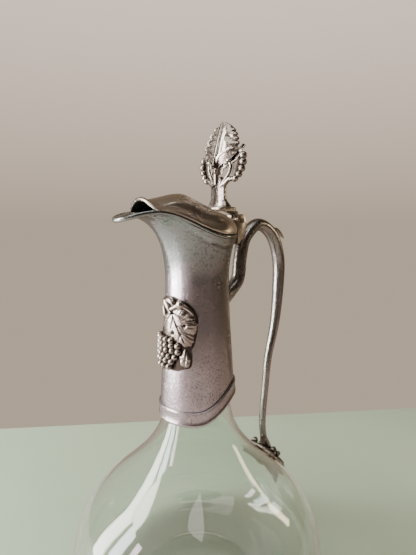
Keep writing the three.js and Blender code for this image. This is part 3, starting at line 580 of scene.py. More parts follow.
def seat_on_glass():
    """A function that lays (across, up the slope, off the glass) on the globe at the leaf plate."""
    outline = glass_outline(60)
    run = [0.0]
    for a, b in zip(outline, outline[1:]):
        run.append(run[-1] + (b - a).length)
    seat = next(i for i, p in enumerate(outline) if p.y >= PLATE_Z and p.y > BELLY_Z)

    def place(across, up, out):
        want = run[seat] + up
        i = next(k for k, length in enumerate(run) if length >= want)
        point = outline[i - 1].lerp(outline[i], (want - run[i - 1]) / (run[i] - run[i - 1]))
        along = (outline[i] - outline[i - 1]).normalized()
        turn = across / point.x
        radius = point.x + along.y * out
        return Vector((radius * math.cos(turn), -radius * math.sin(turn), point.y - along.x * out))

    return place


# ---------- leaves ----------
def leaf_outline(lobes, angle, serration=0.0):
    """Radius of a lobed leaf at an angle: lobes are (angle in degrees, radius), in order."""
    a = math.degrees(angle) % 360
    for (a0, r0), (a1, r1) in zip(lobes, lobes[1:] + [(lobes[0][0] + 360, lobes[0][1])]):
        if a < a0:
            a += 360
        if a0 <= a <= a1:
            t = (a - a0) / (a1 - a0)
            sharp = t ** 1.25 if r0 < r1 else 1 - (1 - t) ** 1.25
            teeth = 1 + serration * abs(math.sin(math.radians(a) * 17))
            return mix(r0, r1, mix(ease(t), sharp, 0.5)) * teeth
        a %= 360
    return lobes[0][1]


def leaf(name, lay, middle, lobes, veins, thick, holes=(), rings=16, around=144, low_side=0.0):
    """A cast leaf laid on a surface: lay maps (across, up, off the surface). Veins are lines cut into its
    top, given as pairs of points, and holes are sunk spots."""
    rows = []
    for share, top in sheet_rings(rings, 0, 1):
        row = []
        for k in range(around):
            angle = TAU * k / around
            radius = leaf_outline(lobes, angle, 0.04) * share * (1 if top else 1.04)
            a = middle[0] + radius * math.cos(angle)
            b = middle[1] + radius * math.sin(angle)
            rise = low_side
            if top:
                edge = 1 - share ** 4
                rise += thick * (0.5 + 0.5 * edge)
                for (a0, b0), (a1, b1) in veins:
                    line = Vector((a1 - a0, b1 - b0))
                    t = clamp01(Vector((a - a0, b - b0)).dot(line) / line.length_squared)
                    away = math.hypot(a - a0 - line.x * t, b - b0 - line.y * t)
                    rise -= 0.36 * thick * bump(away, 0.34) * mix(1, 0.55, t)
                rise += 0.1 * thick * math.sin(angle * 5 + 1) * share ** 2
                rise += 0.03 * thick * math.sin(angle * 23 + share * 7) * share ** 2
                for a0, b0 in holes:
                    rise -= 0.75 * thick * bump(math.hypot(a - a0, b - b0), 0.95)
            row.append(lay(a, b, max(rise, low_side + 0.1 * top)))
        rows.append(row)
    return draw_up(name, rows, crease=60)


PLATE_LOBES = [(0, 0.9), (22, 0.64), (48, 0.86), (68, 0.66), (90, 0.6), (112, 0.66), (132, 0.86),
               (158, 0.64), (180, 0.98), (204, 0.66), (232, 0.96), (250, 0.78), (270, 1.55), (290, 0.78),
               (308, 0.96), (336, 0.66)]


def make_leaf_plate():
    """The vine leaf at the handle's foot, the glue squeezed out behind it, and the berries above it."""
    lay = seat_on_glass()
    lobes = [(a, r * PLATE_REACH) for a, r in PLATE_LOBES]
    veins = [((0, 8), (0, -24)), ((0, 6), (-15, 1)), ((0, 6), (15, 1)), ((0, 7), (-10, 10)),
             ((0, 7), (10, 10)), ((0, -1), (-9, -12)), ((0, -1), (9, -12))]
    plate = leaf("leaf_plate_veined", lay, (0, 0), lobes, veins, 2.0, low_side=1.2)
    settle(plate, "jug", "handle_pewter", plate_pewter, "handle_leaf_plate")

    rows = []
    around = 120
    for share, out in sheet_rings(8, 0.25, 1.05):
        row = []
        for k in range(around):
            angle = TAU * k / around
            ragged = 1.08 + 0.16 * noise.noise(Vector((3 * math.cos(angle), 3 * math.sin(angle), 4)))
            ragged += 0.07 * noise.noise(Vector((9 * math.cos(angle), 9 * math.sin(angle), 9)))
            radius = (0.45 * leaf_outline(lobes, angle) + 0.55 * PLATE_REACH * 0.95) * ragged * share
            row.append(lay(radius * math.cos(angle), radius * math.sin(angle), out))
        rows.append(row)
    glue = draw_up("adhesive_squeeze", rows, crease=50)
    settle(glue, "jug", "adhesive", aged_glue(), "adhesive_pad")

    for word, across in (("near", 9), ("far", -9)):
        berries = [ball("berry", lay(across * k, up, 4.2), 2.3 * size)
                   for k, up, size in ((1, 8, 1), (0.62, 4.6, 0.92), (1.25, 4.4, 0.8))]
        cluster = joined("terminal_berries_" + word, berries, 60)
        settle(cluster, "jug", "handle_pewter", plate_pewter, "terminal_berry_" + word)


# ---------- neck sleeve ----------
def neck_radius(z):
    """Outside radius of the sleeve at a height."""
    return mix(WAIST_R, SLEEVE_BOTTOM_R, ease((WAIST_Z - z) / (WAIST_Z - SLEEVE_BOTTOM)))


def rim_height(s):
    """Height of the rim: it climbs towards the lip, whose tongue droops again."""
    dip = clamp01((s - LIP_DROOP_FROM) / (LIP_TIP - LIP_DROOP_FROM)) ** 1.6
    return RIM_REAR_Z + RIM_RISE * ease((s + 5) / 40) - LIP_DROOP * dip


def sweep(angle):
    """How far the sleeve's lower edge has climbed towards the handle; angle is taken from the spout."""
    turn = math.atan2(math.sin(angle), math.cos(angle))
    return BAND_RISE * ease((abs(math.degrees(turn)) - 48) / 78)


def rim_plan(rear=30, flank=14, tip=18):
    """The rim in plan as (s, l), all the way round: a round neck drawn out to a tongue."""
    turn = math.acos((RIM_R - LIP_TIP_R) / LIP_CENTRE)
    round_neck = [mix(math.pi, turn, i / rear) for i in range(rear + 1)]
    half = [(RIM_R * math.cos(a), RIM_R * math.sin(a)) for a in round_neck]
    start = Vector(half[-1])
    end = Vector((LIP_CENTRE + LIP_TIP_R * math.cos(turn), LIP_TIP_R * math.sin(turn)))
    half += [tuple(start.lerp(end, i / flank)) for i in range(1, flank)]
    round_tip = [turn * (1 - i / tip) for i in range(tip + 1)]
    half += [(LIP_CENTRE + LIP_TIP_R * math.cos(a), LIP_TIP_R * math.sin(a)) for a in round_tip]
    return half + [(s, -l) for s, l in reversed(half[1:-1])]


def sleeve_profile(s, l):
    """Outside of the sleeve under one point of its rim, as (radius, height) vectors."""
    reach = math.hypot(s, l)
    bottom = SLEEVE_BOTTOM + sweep(math.atan2(l, s))
    heights = [mix(bottom, WAIST_Z, i / 20) for i in range(21)]
    side = [Vector((neck_radius(z), z)) for z in heights]
    far = clamp01((reach - RIM_R) / (LIP_TIP - RIM_R))
    tilt = math.radians(mix(70, 10, math.sqrt(far)) - 46 * far ** 2)
    pull = mix(6.4, 24, far)
    top = rim_height(s)
    span = (Vector((WAIST_R, WAIST_Z)), Vector((WAIST_R, WAIST_Z + mix(11, 20, far))),
            Vector((reach - pull * math.cos(tilt), top - pull * math.sin(tilt))), Vector((reach, top)))
    return side + [bezier(*span, i / 30) for i in range(1, 31)]


def make_sleeve():
    """The sleeve, one upright strip for each point of its rim: a raised band under the rim, a rolled
    edge, and its inner wall."""
    columns = []
    for s, l in rim_plan():
        outside = sleeve_profile(s, l)
        inside = shifted(outside, -SLEEVE_WALL)
        proud = shifted(outside, 1.0)
        run = 0.0
        face = list(outside)
        for i in range(len(outside) - 2, 20, -1):
            run += (outside[i + 1] - outside[i]).length
            lift = 0.5 * (1 - ease((run - 5.2) / 1.3)) - 0.28 * bump(run - 6.9, 0.8)
            face[i] = outside[i].lerp(proud[i], lift)
        top = outside[-1]
        along = (outside[-1] - outside[-3]).normalized()
        out = Vector((along.y, -along.x))
        middle = top - along * RIM_BEAD_R - out * (SLEEVE_WALL / 2 - 0.1)
        roll = [middle + (out * math.cos(a) + along * math.sin(a)) * RIM_BEAD_R
                for a in [math.radians(t) for t in range(-40, 230, 22)]]
        foot = [Vector((outside[0].x - tuck, outside[0].y)) for tuck in (1.1, 0.3)]
        kept = [[p for p in wall[:-1] if (p - middle).length > RIM_BEAD_R + 0.15 or p.y < middle.y - 3]
                for wall in (face, inside)]
        columns.append((s, l, foot, kept[0], roll, kept[1]))
    fewest_outer = min(len(c[3]) for c in columns)
    fewest_inner = min(len(c[5]) for c in columns)
    rings = []
    for s, l, foot, outer, roll, inner in columns:
        points = foot + outer[:fewest_outer] + roll + inner[:fewest_inner][::-1]
        points[-1] = Vector((foot[0].x, points[-1].y + 0.4))
        points.append(foot[0])
        reach = math.hypot(s, l)
        rings.append([(-s * p.x / reach, -l * p.x / reach, p.y) for p in points])
    rows = [[ring[i] for ring in rings] for i in range(len(rings[0]))]
    sleeve = draw_up("neck_sleeve_with_lip", rows, close_first=False, close_last=False, crease=32)
    settle(sleeve, "jug", "sleeve_pewter", sleeve_pewter, "neck_sleeve")


def make_band():
    """The collar band: two fine ridges with a flat between them, swept up towards the handle."""
    section = [(0, 0), (0.6, 0), (0.9, 0.04), (1, 0.1), (1, 0.17), (0.78, 0.22), (0.72, 0.5),
               (0.78, 0.78), (1, 0.83), (1, 0.9), (0.9, 0.96), (0.6, 1), (0, 1), (0, 0.5), (0, 0)]
    rows = []
    for out, up in section:
        row = []
        for k in range(144):
            angle = TAU * k / 144
            z = SLEEVE_BOTTOM + sweep(angle) + up * BAND_HEIGHT
            r = neck_radius(z) + 0.2 + out * BAND_THICK
            row.append((-r * math.cos(angle), -r * math.sin(angle), z))
        rows.append(row)
    band = draw_up("collar_band_swept", rows, close_first=False, close_last=False, crease=28)
    settle(band, "jug", "sleeve_pewter", sleeve_pewter, "collar_band")


# ---------- lid ----------
def dome_height(s):
    """Height of the lid along its middle."""
    run = DOME_RUN_FRONT if s > DOME_CROWN else DOME_RUN_REAR
    return LID_TOP_REAR + DOME_RISE * bump(s - DOME_CROWN, run)


def lid_edge():
    """The lid's edge as (s, l, height): on the rim, then arched clear of it over the beak."""
    seated = [(s, l) for s, l in rim_plan() if l >= -1e-6 and s < HOOD_START - 0.6]
    half = [(s, l, rim_height(s) + LID_SEAT + 0.8) for s, l in seated]
    turn = math.acos((RIM_R - LIP_TIP_R) / LIP_CENTRE)
    start_l = (RIM_R - HOOD_START * math.cos(turn)) / math.sin(turn)
    for i in range(17):
        a = i / 16 * math.pi / 2
        half.append((HOOD_START + 3.5 * math.sin(a) ** 0.8, start_l * math.cos(a),
                     rim_height(HOOD_START) + LID_SEAT + 0.8 + HOOD_RISE * math.sin(a) ** 2.4))
    return half + [(s, -l, z) for s, l, z in reversed(half[1:-1])]


def lid_point(edge, q):
    """A point of the dome: q runs from its crown, 0, to a point of its edge, 1."""
    s = mix(6, edge[0], q)
    front = ease((s + 14) / 26)
    lift = (1 - q ** mix(5, 2, front)) ** (1 / mix(2, 1, front))
    return Vector((-s, -edge[1] * q, mix(edge[2], dome_height(s), lift)))


def make_lid():
    """The domed lid: a crease runs inside its edge, its edge is rounded, and the beak's is rolled."""
    edge = lid_edge()
    count = len(edge)
    steps = 34
    outer = []
    inner = []
    shares = [math.sin(j / steps * math.pi / 2) for j in range(1, steps + 1)]
    runs = [[0.0] * count for _ in shares]
    for j in range(steps - 2, -1, -1):
        for c in range(count):
            stride = (lid_point(edge[c], shares[j + 1]) - lid_point(edge[c], shares[j])).length
            runs[j][c] = runs[j + 1][c] + stride
    for j, q in enumerate(shares):
        row = []
        under = []
        for c in range(count):
            here = lid_point(edge[c], q)
            round_way = lid_point(edge[(c + 1) % count], q) - lid_point(edge[c - 1], q)
            inward = lid_point(edge[c], q - 0.03) - lid_point(edge[c], min(1, q + 0.0001))
            normal = inward.cross(round_way).normalized()
            if normal.z < 0:
                normal.negate()
            level = Vector((normal.x, normal.y, 0)).normalized()
            normal = normal.lerp(level, q ** 5).normalized()
            away = runs[j][c]
            fade = ease((edge[c][0] + 8) / 10) * (1 - 0.9 * ease((edge[c][0] - 31) / 8))
            crease = 0.3 * bump(away - 0.8, 1.0) - 0.9 * bump(away - 5.6, 2.2) + 0.7 * bump(away - 9.6, 2.4)
            row.append(here + normal * crease * fade)
            under.append(here - normal * LID_WALL)
        outer.append(row)
        inner.append(under)
    roll = []
    for k in range(1, 6):
        a = math.pi * k / 6
        row = []
        for c in range(count):
            middle = (outer[-1][c] + inner[-1][c]) / 2
            half = (outer[-1][c] - inner[-1][c]) / 2
            down = (outer[-1][c] - outer[-3][c]).normalized()
            row.append(middle + half * math.cos(a) + down * half.length * math.sin(a))
        roll.append(row)
    dome = draw_up("dome", outer + roll + inner[::-1], crease=40)
    lip = [Vector((-s, -l, z - 0.3)) for s, l, z in edge if s > HOOD_START - 0.1]
    lip = sorted(lip, key=lambda point: point.y)
    beak_roll = rod("beak_roll", lip, [0.5, 1.15, 1.25, 1.15, 0.5], Vector((0, 0, 1)), steps=60,
                    around=12)
    shell = joined("lid_dome_and_beak", [painted(dome, lid_pewter), painted(beak_roll, thumb_pewter)], 40)
    settle(shell, "lid", "lid_pewter", lid_pewter, "lid_shell")


# ---------- hinge ----------
def knuckle(name, leg, width, y):
    """A rounded eye on the hinge axis with a leg down to the piece that carries it."""
    arc = [(HINGE.x + KNUCKLE_R * math.cos(a), HINGE.z + KNUCKLE_R * math.sin(a))
           for a in [math.radians(t) for t in range(-10, 171, 9)]]
    outline = arc + leg
    rows = []
    middle = Vector([sum(p[k] for p in outline) / len(outline) for k in (0, 1)])
    soft = 0.5
    for side, inset in ((-1, soft), (-1 + 0.3 * soft / width * 2, 0.3 * soft), (-1 + 2 * soft / width, 0),
                        (1 - 2 * soft / width, 0), (1 - 0.3 * soft / width * 2, 0.3 * soft), (1, soft)):
        row = []
        for x, z in outline:
            inward = (middle - Vector((x, z))).normalized() * inset
            row.append((x + inward.x, y + side * width / 2, z + inward.y))
        rows.append(row)
    return draw_up(name, rows, crease=40)


def make_hinge():
    """Three eyes on one pin: the middle one on the lid, the outer two on the sleeve."""
    back = RIM_R + 0.5
    lid_leg = [(back, HINGE.z + 3.4), (back, HINGE.z - 3), (HINGE.x, HINGE.z - 3.9),
               (HINGE.x + 3, HINGE.z - 2.8)]
    middle = knuckle("lid_hinge_eye", lid_leg, LID_EYE_WIDTH, 0)
    settle(middle, "lid", "lid_pewter", lid_pewter, "lid_knuckle")
    jug_leg = [(HINGE.x - 3.6, HINGE.z - 1.6), (back + 0.3, HINGE.z - 2.6), (back + 0.3, HINGE.z - 15),
               (HINGE.x + 1.5, HINGE.z - 11), (HINGE.x + 3.9, HINGE.z - 3)]
    for word, side in (("near", -1), ("far", 1)):
        outer = knuckle("hinge_eye_" + word, jug_leg, JUG_EYE_WIDTH, side * JUG_EYE_OFF)
        settle(outer, "jug", "sleeve_pewter", lid_pewter, "hinge_knuckle_" + word)
    refinish("hinge_pin", turned_steel())


# ---------- thumbpiece ----------
def midrib_x(z):
    """How far back the thumbpiece's middle leans at a height."""
    up = clamp01((z - STEM_TOP - 11) / (THUMB_TOP - STEM_TOP - 11))
    return STEM_X - 1 + 6.9 * up ** 1.3


def on_face(l, z, out=0.0):
    """A point of the thumbpiece's swept-back face: l sideways, z up, out in front of it."""
    return Vector((midrib_x(z) + 0.25 * abs(l) - out, -l, z))


def make_thumb_leaf():
    """A serrated leaf, swelling on both sides of its midrib, with fingers that end in teeth."""
    # For each half: fingers, depth of the gaps between them, curl of its edge, and the fingers' start,
    # run-up and height.
    near_half = (10.5, 0.13, 0.8, 0.74, 0.16, 1.1)
    far_half = (8.5, 0.2, -2.6, 0.3, 0.5, 1.3)
    base = STEM_TOP + 6
    length = THUMB_TOP - base
    across = 28
    rows = []
    steps = 96
    for i in range(steps + 1):
        v = i / steps
        z = base + length * v
        tip = clamp01((v - 0.42) / 0.58)
        if v > 0.42:
            blade = THUMB_LEAF_HALF * math.sqrt(max(0.0, 1 - tip ** 1.7))
        else:
            blade = mix(1.6, THUMB_LEAF_HALF, ease((v - 0.1) / 0.32) ** 1.2)
        row = []
        for side in (1, -1):
            for k in range(across):
                u = mix(-1, 1, k / (across - 1)) * side
                edge = abs(u)
                lean = v - 0.16 * edge
                fingers, depth, turn_up, start, run_up, rise = near_half if u > 0 else far_half
                finger = abs(math.sin(math.pi * lean * fingers)) ** 0.7
                gap = (1 - finger) ** 1.5
                tooth = 1 - depth * gap * ease((v - 0.3) / 0.1) * clamp01((edge - 0.6) / 0.4)
                width = max(0.5, blade * tooth)
                l = u * width
                thick = mix(1.5, 0.55, edge)
                curl = turn_up * edge ** 3 * ease((v - 0.35) / 0.2) * ease((1 - v) / 0.1)
                relief = 0.0
                if side == 1:
                    relief += rise * (finger - 0.6) * clamp01((edge - start) / run_up) * ease((v - 0.3) / 0.1)
                    relief += 1.9 * bump(l, 1.2) * (1 - 0.5 * v)
                    swell = math.sin(math.pi * edge) ** 1.4 * ease((v - 0.2) / 0.2)
                    relief += 2.0 * swell * (1 - v) ** 0.35
                    relief -= 1.8 * bump(edge - 0.58, 0.14) * bump(v - 0.68, 0.05) * (u > 0)
                    row.append(on_face(l, z - 1.6 * edge ** 2, thick + relief - curl))
                else:
                    row.append(on_face(l, z - 1.6 * edge ** 2, -thick * 0.7 - curl))
        rows.append(row)
    blade_piece = draw_up("thumbpiece_leaf_blade", rows, crease=50)
    spine = [on_face(0, STEM_TOP - 1, 0.2), on_face(0, STEM_TOP + 5, 0.6), on_face(0, base + 5, 0.8)]
    stalk = rod("stalk", spine, [1.9, 1.5, 1.2], Vector((0, 1, 0)))
    knot = ball("knot", on_face(0, STEM_TOP + 7, 1.2), 1.9, (0.9, 1, 1.1))
    whole = joined("thumb_leaf_serrated", [blade_piece, stalk, knot], 50)
    settle(whole, "lid", "thumbpiece_pewter", thumb_pewter, "thumbpiece_leaf")


def volute(side):
    """The side leaf: a gutter with a rolled top edge that swings out and up to a point."""
    section = [(1, 0.2), (1.12, 0.9), (0.95, 1.9), (0.66, 1.75), (0.5, 0.5), (0.15, -1.2), (-0.3, -1.6),
               (-0.7, -1.0), (-0.95, 0.3), (-1.12, 0.3), (-1.08, -1.0), (-0.6, -2.3), (0.1, -2.6),
               (0.7, -1.9)]
    steps = 40
    path = smooth_path([on_face(side * l, STEM_TOP + up, 0.6) for l, up in
                        ((2.6, 5), (2.8, 9.5), (5.2, 13.4), (10, 16), (14.6, 18.2), (18.2, 21.5))], steps)
    rows = []
    for i, centre in enumerate(path):
        t = i / steps
        along = (path[min(i + 1, steps)] - path[max(i - 1, 0)]).normalized()
        front = Vector((-1, 0, 0))
        upward = along.cross(front).normalized() * -side
        front = upward.cross(along).normalized()
        if front.x > 0:
            front.negate()
        size = mix(0.5, 1, ease(t / 0.35)) * (1 - ease((t - 0.6) / 0.4) * 0.88)
        height = 4.4 * size
        rows.append([centre + upward * height * up + front * 1.25 * max(size, 0.4) * out
                     for up, out in section])
    return draw_up("volute", rows, crease=60)


def make_thumb_scrolls():
    """On each side: the volute, a C-scroll with a mushroom head, the bead arm and the bead drop."""
    for word, side in (("near", 1), ("far", -1)):
        across = Vector((0.4, -side, 0)).normalized()

        def at(l, up, out=0.0):
            return on_face(side * l, STEM_TOP + up, out)

        scroll = rod("scroll", [at(4.2, -1), at(7.2, 3), at(9.6, 7), at(10, 10.4), at(8.6, 12.6)],
                     [1.5, 1.1, 1.0, 1.3], across)
        head = ball("head", at(8.8, 12.9, 0.6), 2.3, (0.95, 1.15, 0.7))
        curl = rod("curl", [at(8.8, 12.2, 0.4), at(6.6, 11.4, 0.6), at(6.2, 9.4, 0.6), at(7.4, 8.8, 0.4)],
                   [1.1, 0.8, 0.7], across, steps=16)
        arm = rod("arm", [at(3.2, -2.4), at(6.4, -0.6, 0.4), at(9.6, 1.6, 0.6), at(13.4, 1.6)],
                  [1.7, 1.4, 1.3, 1.6], across, flat=1.15)
        # Painted shade: a dark rod set behind the scrolls fills the gaps between them with near-black metal.
        web = rod("web", [at(11.5, 3.5, -1.0), at(13.5, 8, -1.4), at(14.5, 13, -1.4), at(15.5, 18, -1.2)],
                  [1.0, 1.6, 1.7, 0.8], across, flat=1.9)
        bright = [painted(part, thumb_pewter) for part in (volute(side), scroll, head, curl, arm)]
        pieces = joined("thumb_scroll_" + word, bright + [painted(web, shade_sheet_pewter)], 50)
        settle(pieces, "lid", "thumbpiece_pewter", thumb_pewter, "thumbpiece_scroll_" + word)
        chain = [(13.6, 1.9, 1.9), (16.0, 4.3, 2.1), (17.9, 7.5, 2.2), (18.8, 11.3, 2.3), (18.4, 15.2, 2.3)]
        beads = [ball("bead", at(l, up, 0.3), radius) for l, up, radius in chain]
        drop = joined("thumb_beads_" + word, beads, 60)
        settle(drop, "lid", "thumbpiece_pewter", thumb_pewter, "thumbpiece_beads_" + word)


def make_thumb_stem():
    """The stem: flared at its foot, waisted, ridged towards the spout, with a web down to the hinge."""
    foot_low = dome_height(-8) + 0.3
    foot_top = foot_low + 2.6
    rows = []
    levels = 26
    for i in range(levels + 1):
        t = i / levels
        z = mix(foot_top - 0.6, STEM_TOP + 3.5, t)
        flare = (1 - ease(t / 0.36)) ** 1.4
        half = mix(6.6, 9.2, flare) * mix(1, 0.5, ease((t - 0.62) / 0.38))
        deep = mix(2.3, 5.2, flare)
        ridge = mix(2.9, 4.2, flare)
        row = []
        for x, y in ((-ridge, 0), (-ridge * 0.72, 0.16), (-deep * 0.5, 0.5), (-deep * 0.42, 0.8),
                     (-deep * 0.15, 0.97), (deep * 0.3, 1), (deep * 0.8, 0.9), (deep, 0.6), (deep, 0.2)):
            row.append((STEM_X + x, -half * y, z))
        row += [(x, -y, z) for x, y, z in reversed(row[1:])]
        rows.append(row)
    stem = draw_up("stem", rows, crease=55)
    rows = []
    for z, grow in ((0, -0.8), (0.25, -0.25), (0.7, 0), (1.9, 0), (2.35, -0.25), (2.6, -0.9)):
        row = []
        for k in range(48):
            a = TAU * k / 48
            x = math.copysign(abs(math.cos(a)) ** 0.35, math.cos(a)) * (7.6 + grow)
            y = math.copysign(abs(math.sin(a)) ** 0.35, math.sin(a)) * (9.4 + grow)
            row.append((STEM_X + 1.2 + x, y, foot_low + z))
        rows.append(row)
    foot = draw_up("foot", rows, crease=40)
    high_end = Vector((STEM_X + 1.5, 0, STEM_TOP - 3))
    low_end = Vector((HINGE.x + 2.4, 0, HINGE.z + 6.6))
    rows = []
    for i in range(21):
        t = i / 20
        top = high_end.lerp(low_end, t) - Vector((0.6, 0, 1)) * 3.2 * math.sin(math.pi * t)
        bottom_z = mix(foot_top, HINGE.z + 4.2, t)
        half = mix(2.2, 3.6, t)
        row = [Vector((top.x, y * half, z)) for y, z in ((-0.5, top.z), (0.5, top.z), (1, top.z - 0.8),
                                                        (1, bottom_z), (-1, bottom_z), (-1, top.z - 0.8))]
        rows.append(row)
    web = draw_up("web", rows, crease=30)
    parts = [painted(stem, thumb_pewter), painted(foot, lid_pewter), painted(web, lid_pewter)]
    whole = joined("thumb_stem_and_foot", parts, 45)
    settle(whole, "lid", "thumbpiece_pewter", thumb_pewter, "thumbpiece_stem")


# ---------- handle ----------
def handle_line():
    """Centre line: the root on the sleeve, the arch over the rear of the rim, the fall to the glass."""
    root = [(-1.5, -17), (8.2, -11.5), (15.2, -4)]
    arch = [(12.5, -16), (16.5, -3), (29, 6), (43.5, -1), (51.5, -18), (52, -40)]
    foot = [(73.5, 165), (67, 140), (64.5, 118), (62.2, 95), (63, 82), (66.8, 69.5)]
    line = [Vector((WAIST_R + x, 0, WAIST_Z + z)) for x, z in root]
    line += [Vector((RIM_R + x, 0, RIM_REAR_Z + z)) for x, z in arch]
    return line + [Vector((x, 0, z)) for x, z in foot]


def make_handle():
    """The S-shaped bar, oval and tapering towards its foot, with a spur on its shoulder."""
    steps = 150
    path = smooth_path(handle_line(), steps)
    rows = []
    for i, centre in enumerate(path):
        t = i / steps
        along = (path[min(i + 1, steps)] - path[max(i - 1, 0)]).normalized()
        across = Vector((along.z, 0, -along.x))
        slim = mix(1, 0.56, ease((t - 0.33) / 0.5))
        spread = 1 + 0.35 * (1 - ease(t / 0.06)) + 0.55 * ease((t - 0.955) / 0.045)
        row = []
        for k in range(28):
            a = TAU * k / 28
            dent = 1 - 0.04 * bump(math.sin(a) - 1, 0.12) - 0.04 * bump(math.sin(a) + 1, 0.12)
            row.append(centre + across * HANDLE_DEEP * slim * spread * math.cos(a)
                       + Vector((0, HANDLE_WIDE * slim * spread * math.sin(a) * dent, 0)))
        rows.append(row)
    bar = draw_up("bar", rows, crease=50)
    shoulder = Vector((RIM_R + 43, 0, RIM_REAR_Z + 0.6))
    tip = Vector((SPUR_TIP - 0.2, 0, RIM_REAR_Z - 4.4))
    rows = []
    for i in range(17):
        t = i / 16
        centre = shoulder.lerp(tip, t) + Vector((0, 0, 2.4 * math.sin(math.pi * t)))
        size = (1 - t) ** 0.75 + 0.02
        row = [centre + Vector((0.5 * math.cos(a), 0, math.cos(a))) * SPUR_HALF * size
               + Vector((0, math.sin(a) * SPUR_HALF * size * (1 - 0.25 * math.cos(a)), 0))
               for a in [TAU * k / 18 for k in range(18)]]
        rows.append(row)
    spur = draw_up("spur", rows, crease=50)
    handle = joined("handle_with_spur", [bar, spur], 50)
    settle(handle, "jug", "handle_pewter", handle_pewter, "handle")


# ---------- grape badge ----------
def on_sleeve(a, b, out):
    """A point on the sleeve's front: a sideways and b up from the badge's middle."""
    z = BADGE_Z + b
    radius = neck_radius(z) + out
    turn = a / (neck_radius(BADGE_Z) + 1)
    return Vector((-radius * math.cos(turn), -radius * math.sin(turn), z))


def cast_ground():
    """The thin sheet that the leaf, the twigs and the fruit stand on, seen as a dark edge round them: it
    carries painted shade round and between them.
    """
    border = [(20.2, 6.5), (19.2, -1), (17.6, -7), (15.8, -9.4), (16.6, -13), (15.8, -19.4), (11.8, -21),
              (6, -22.8), (-2, -21.6), (-8, -18.4), (-13.4, -12), (-16.4, -5), (-14, -0.6), (-9.4, 0.8),
              (-8.8, 5), (-7.6, 10), (-8, 16.6), (-5.8, 20.4), (1, 21), (8, 19.8), (13.4, 18),
              (17.8, 14.4), (20, 10.4)]
    closed = [Vector(point).to_3d() for point in border + border[:1]]
    line = smooth_path(closed, 120)[:-1]
    middle = Vector((4, -1, 0))
    rows = []
    for share, out in sheet_rings(8, 0.12, 0.75):
        spots = [middle.lerp(point, share) for point in line]
        rows.append([on_sleeve(spot.x, spot.y, out) for spot in spots])
    return draw_up("ground", rows, crease=50)


def make_badge():
    """The cast badge: a vine leaf over a bunch of grapes, with twigs, a knob and a small leaf."""
    side = Vector((-1, 0, 0))
    lobes = [(6, 13.2), (15, 12.2), (24, 13.3), (39, 12.5), (48, 11.2), (60, 12.2), (80, 10.0),
             (94, 10.6), (108, 10.4), (119, 11.2), (131, 9.0), (146, 9.6), (160, 11.8), (172, 12.2),
             (184, 13.2), (203, 11.8), (222, 9.9), (240, 8.2), (262, 8.6), (288, 10.0), (298, 13.0),
             (312, 14.4), (324, 13.8), (336, 12.2), (350, 12.8)]
    root = (3.5, 12)
    veins = [(root, (12.4, -4.6)), (root, (-5.6, 2.0)), (root, (16.4, 8.6)), ((4.8, 9.4), (3.2, 2.4)),
             ((7.8, 4.6), (14.4, 0.6)), ((-0.4, 8.0), (-4.6, 7.0)), ((10.4, 0), (9, -3.6))]
    vine = leaf("vine_leaf_engraved", on_sleeve, (6, 4.4), lobes, veins, 2.3, holes=((12.2, 4.9), (4.5, 0)),
                rings=30, around=240, low_side=0.2)
    settle(vine, "jug", "badge_pewter", badge_pewter, "badge_vine_leaf")

    small_lobes = [(20, 3.3), (55, 3.2), (90, 5.8), (125, 3.2), (160, 3.3), (205, 3.3), (250, 4.7),
                   (290, 4.9), (335, 3.3)]
    small = leaf("small_leaf_cast", on_sleeve, (12.6, -14.8), small_lobes,
                 [((13.8, -10), (12.8, -19.2))], 2.2, rings=8, around=72, low_side=0.2)
    settle(small, "jug", "badge_pewter", badge_pewter, "badge_small_leaf")

    def twig(points, radii):
        return rod("twig", [on_sleeve(a, b, out) for a, b, out in points], radii, side, around=12)

    parts = [
        twig([(-5.4, 19.4, 1.2), (-2.6, 18.4, 2.2), (0.6, 15.8, 2.4), (3.4, 11.8, 2.4)],
             [0.8, 1.9, 1.8, 1.3]),
        twig([(-5.4, 15.6, 1.2), (-3.2, 18.0, 1.6), (1.2, 19.4, 2.4), (4.6, 18.0, 2.6), (5.6, 15.2, 2.0)],
             [1.0, 1.5, 1.7, 1.4]),
        twig([(-5.4, 17.0, 1.4), (-6.2, 13.2, 1.2), (-4.6, 9.6, 1.2), (-6.4, 7.0, 1.0)],
             [1.3, 1.3, 1.1, 0.8]),
        twig([(3, 13.8, 2.2), (6, 15.6, 2.4), (9.6, 17.2, 2.4)], [1.3, 1.2, 1.6]),
        twig([(9.8, 17.2, 2.2), (14, 15.2, 1.8), (17.6, 11.6, 1.4)], [1.6, 1.3, 0.8]),
        ball("knob", on_sleeve(9.8, 17.4, 3.0), 2.7, (0.85, 1.05, 1.05)),
    ]
    settle(joined("twig_and_knob", parts, 60), "jug", "badge_pewter", badge_pewter, "badge_twig")

    grapes = []
    bunch = ((5, -4.4), (6, -1.9), (6, -1.4), (5, -1.2), (4, -1.4), (3, -0.8))
    for row, (count, shift) in enumerate(bunch):
        for i in range(count):
            from_middle = i - (count - 1) / 2
            a = shift + from_middle * GRAPE_PITCH
            jitter = noise.noise(Vector((row * 3.1, i * 2.3, 1.7)))
            crown = 1.6 + 1.1 * bump(from_middle, 1.9)
            centre = on_sleeve(a + 0.4 * jitter, -4.6 - row * GRAPE_ROW + 0.5 * jitter, crown)
            facing = Vector((centre.x, centre.y, -9)).normalized()
            grapes.append(ball("grape", centre, GRAPE_R + 0.12 * jitter, facing=facing))
    # The ground sheet carries painted shade between the grapes and round the badge.
    ground = painted(cast_ground(), shade_sheet_pewter)
    fruit = [painted(grape, badge_pewter) for grape in grapes]
    settle(joined("grape_cluster", fruit + [ground], 60), "jug", "badge_pewter", badge_pewter, "badge_grapes")


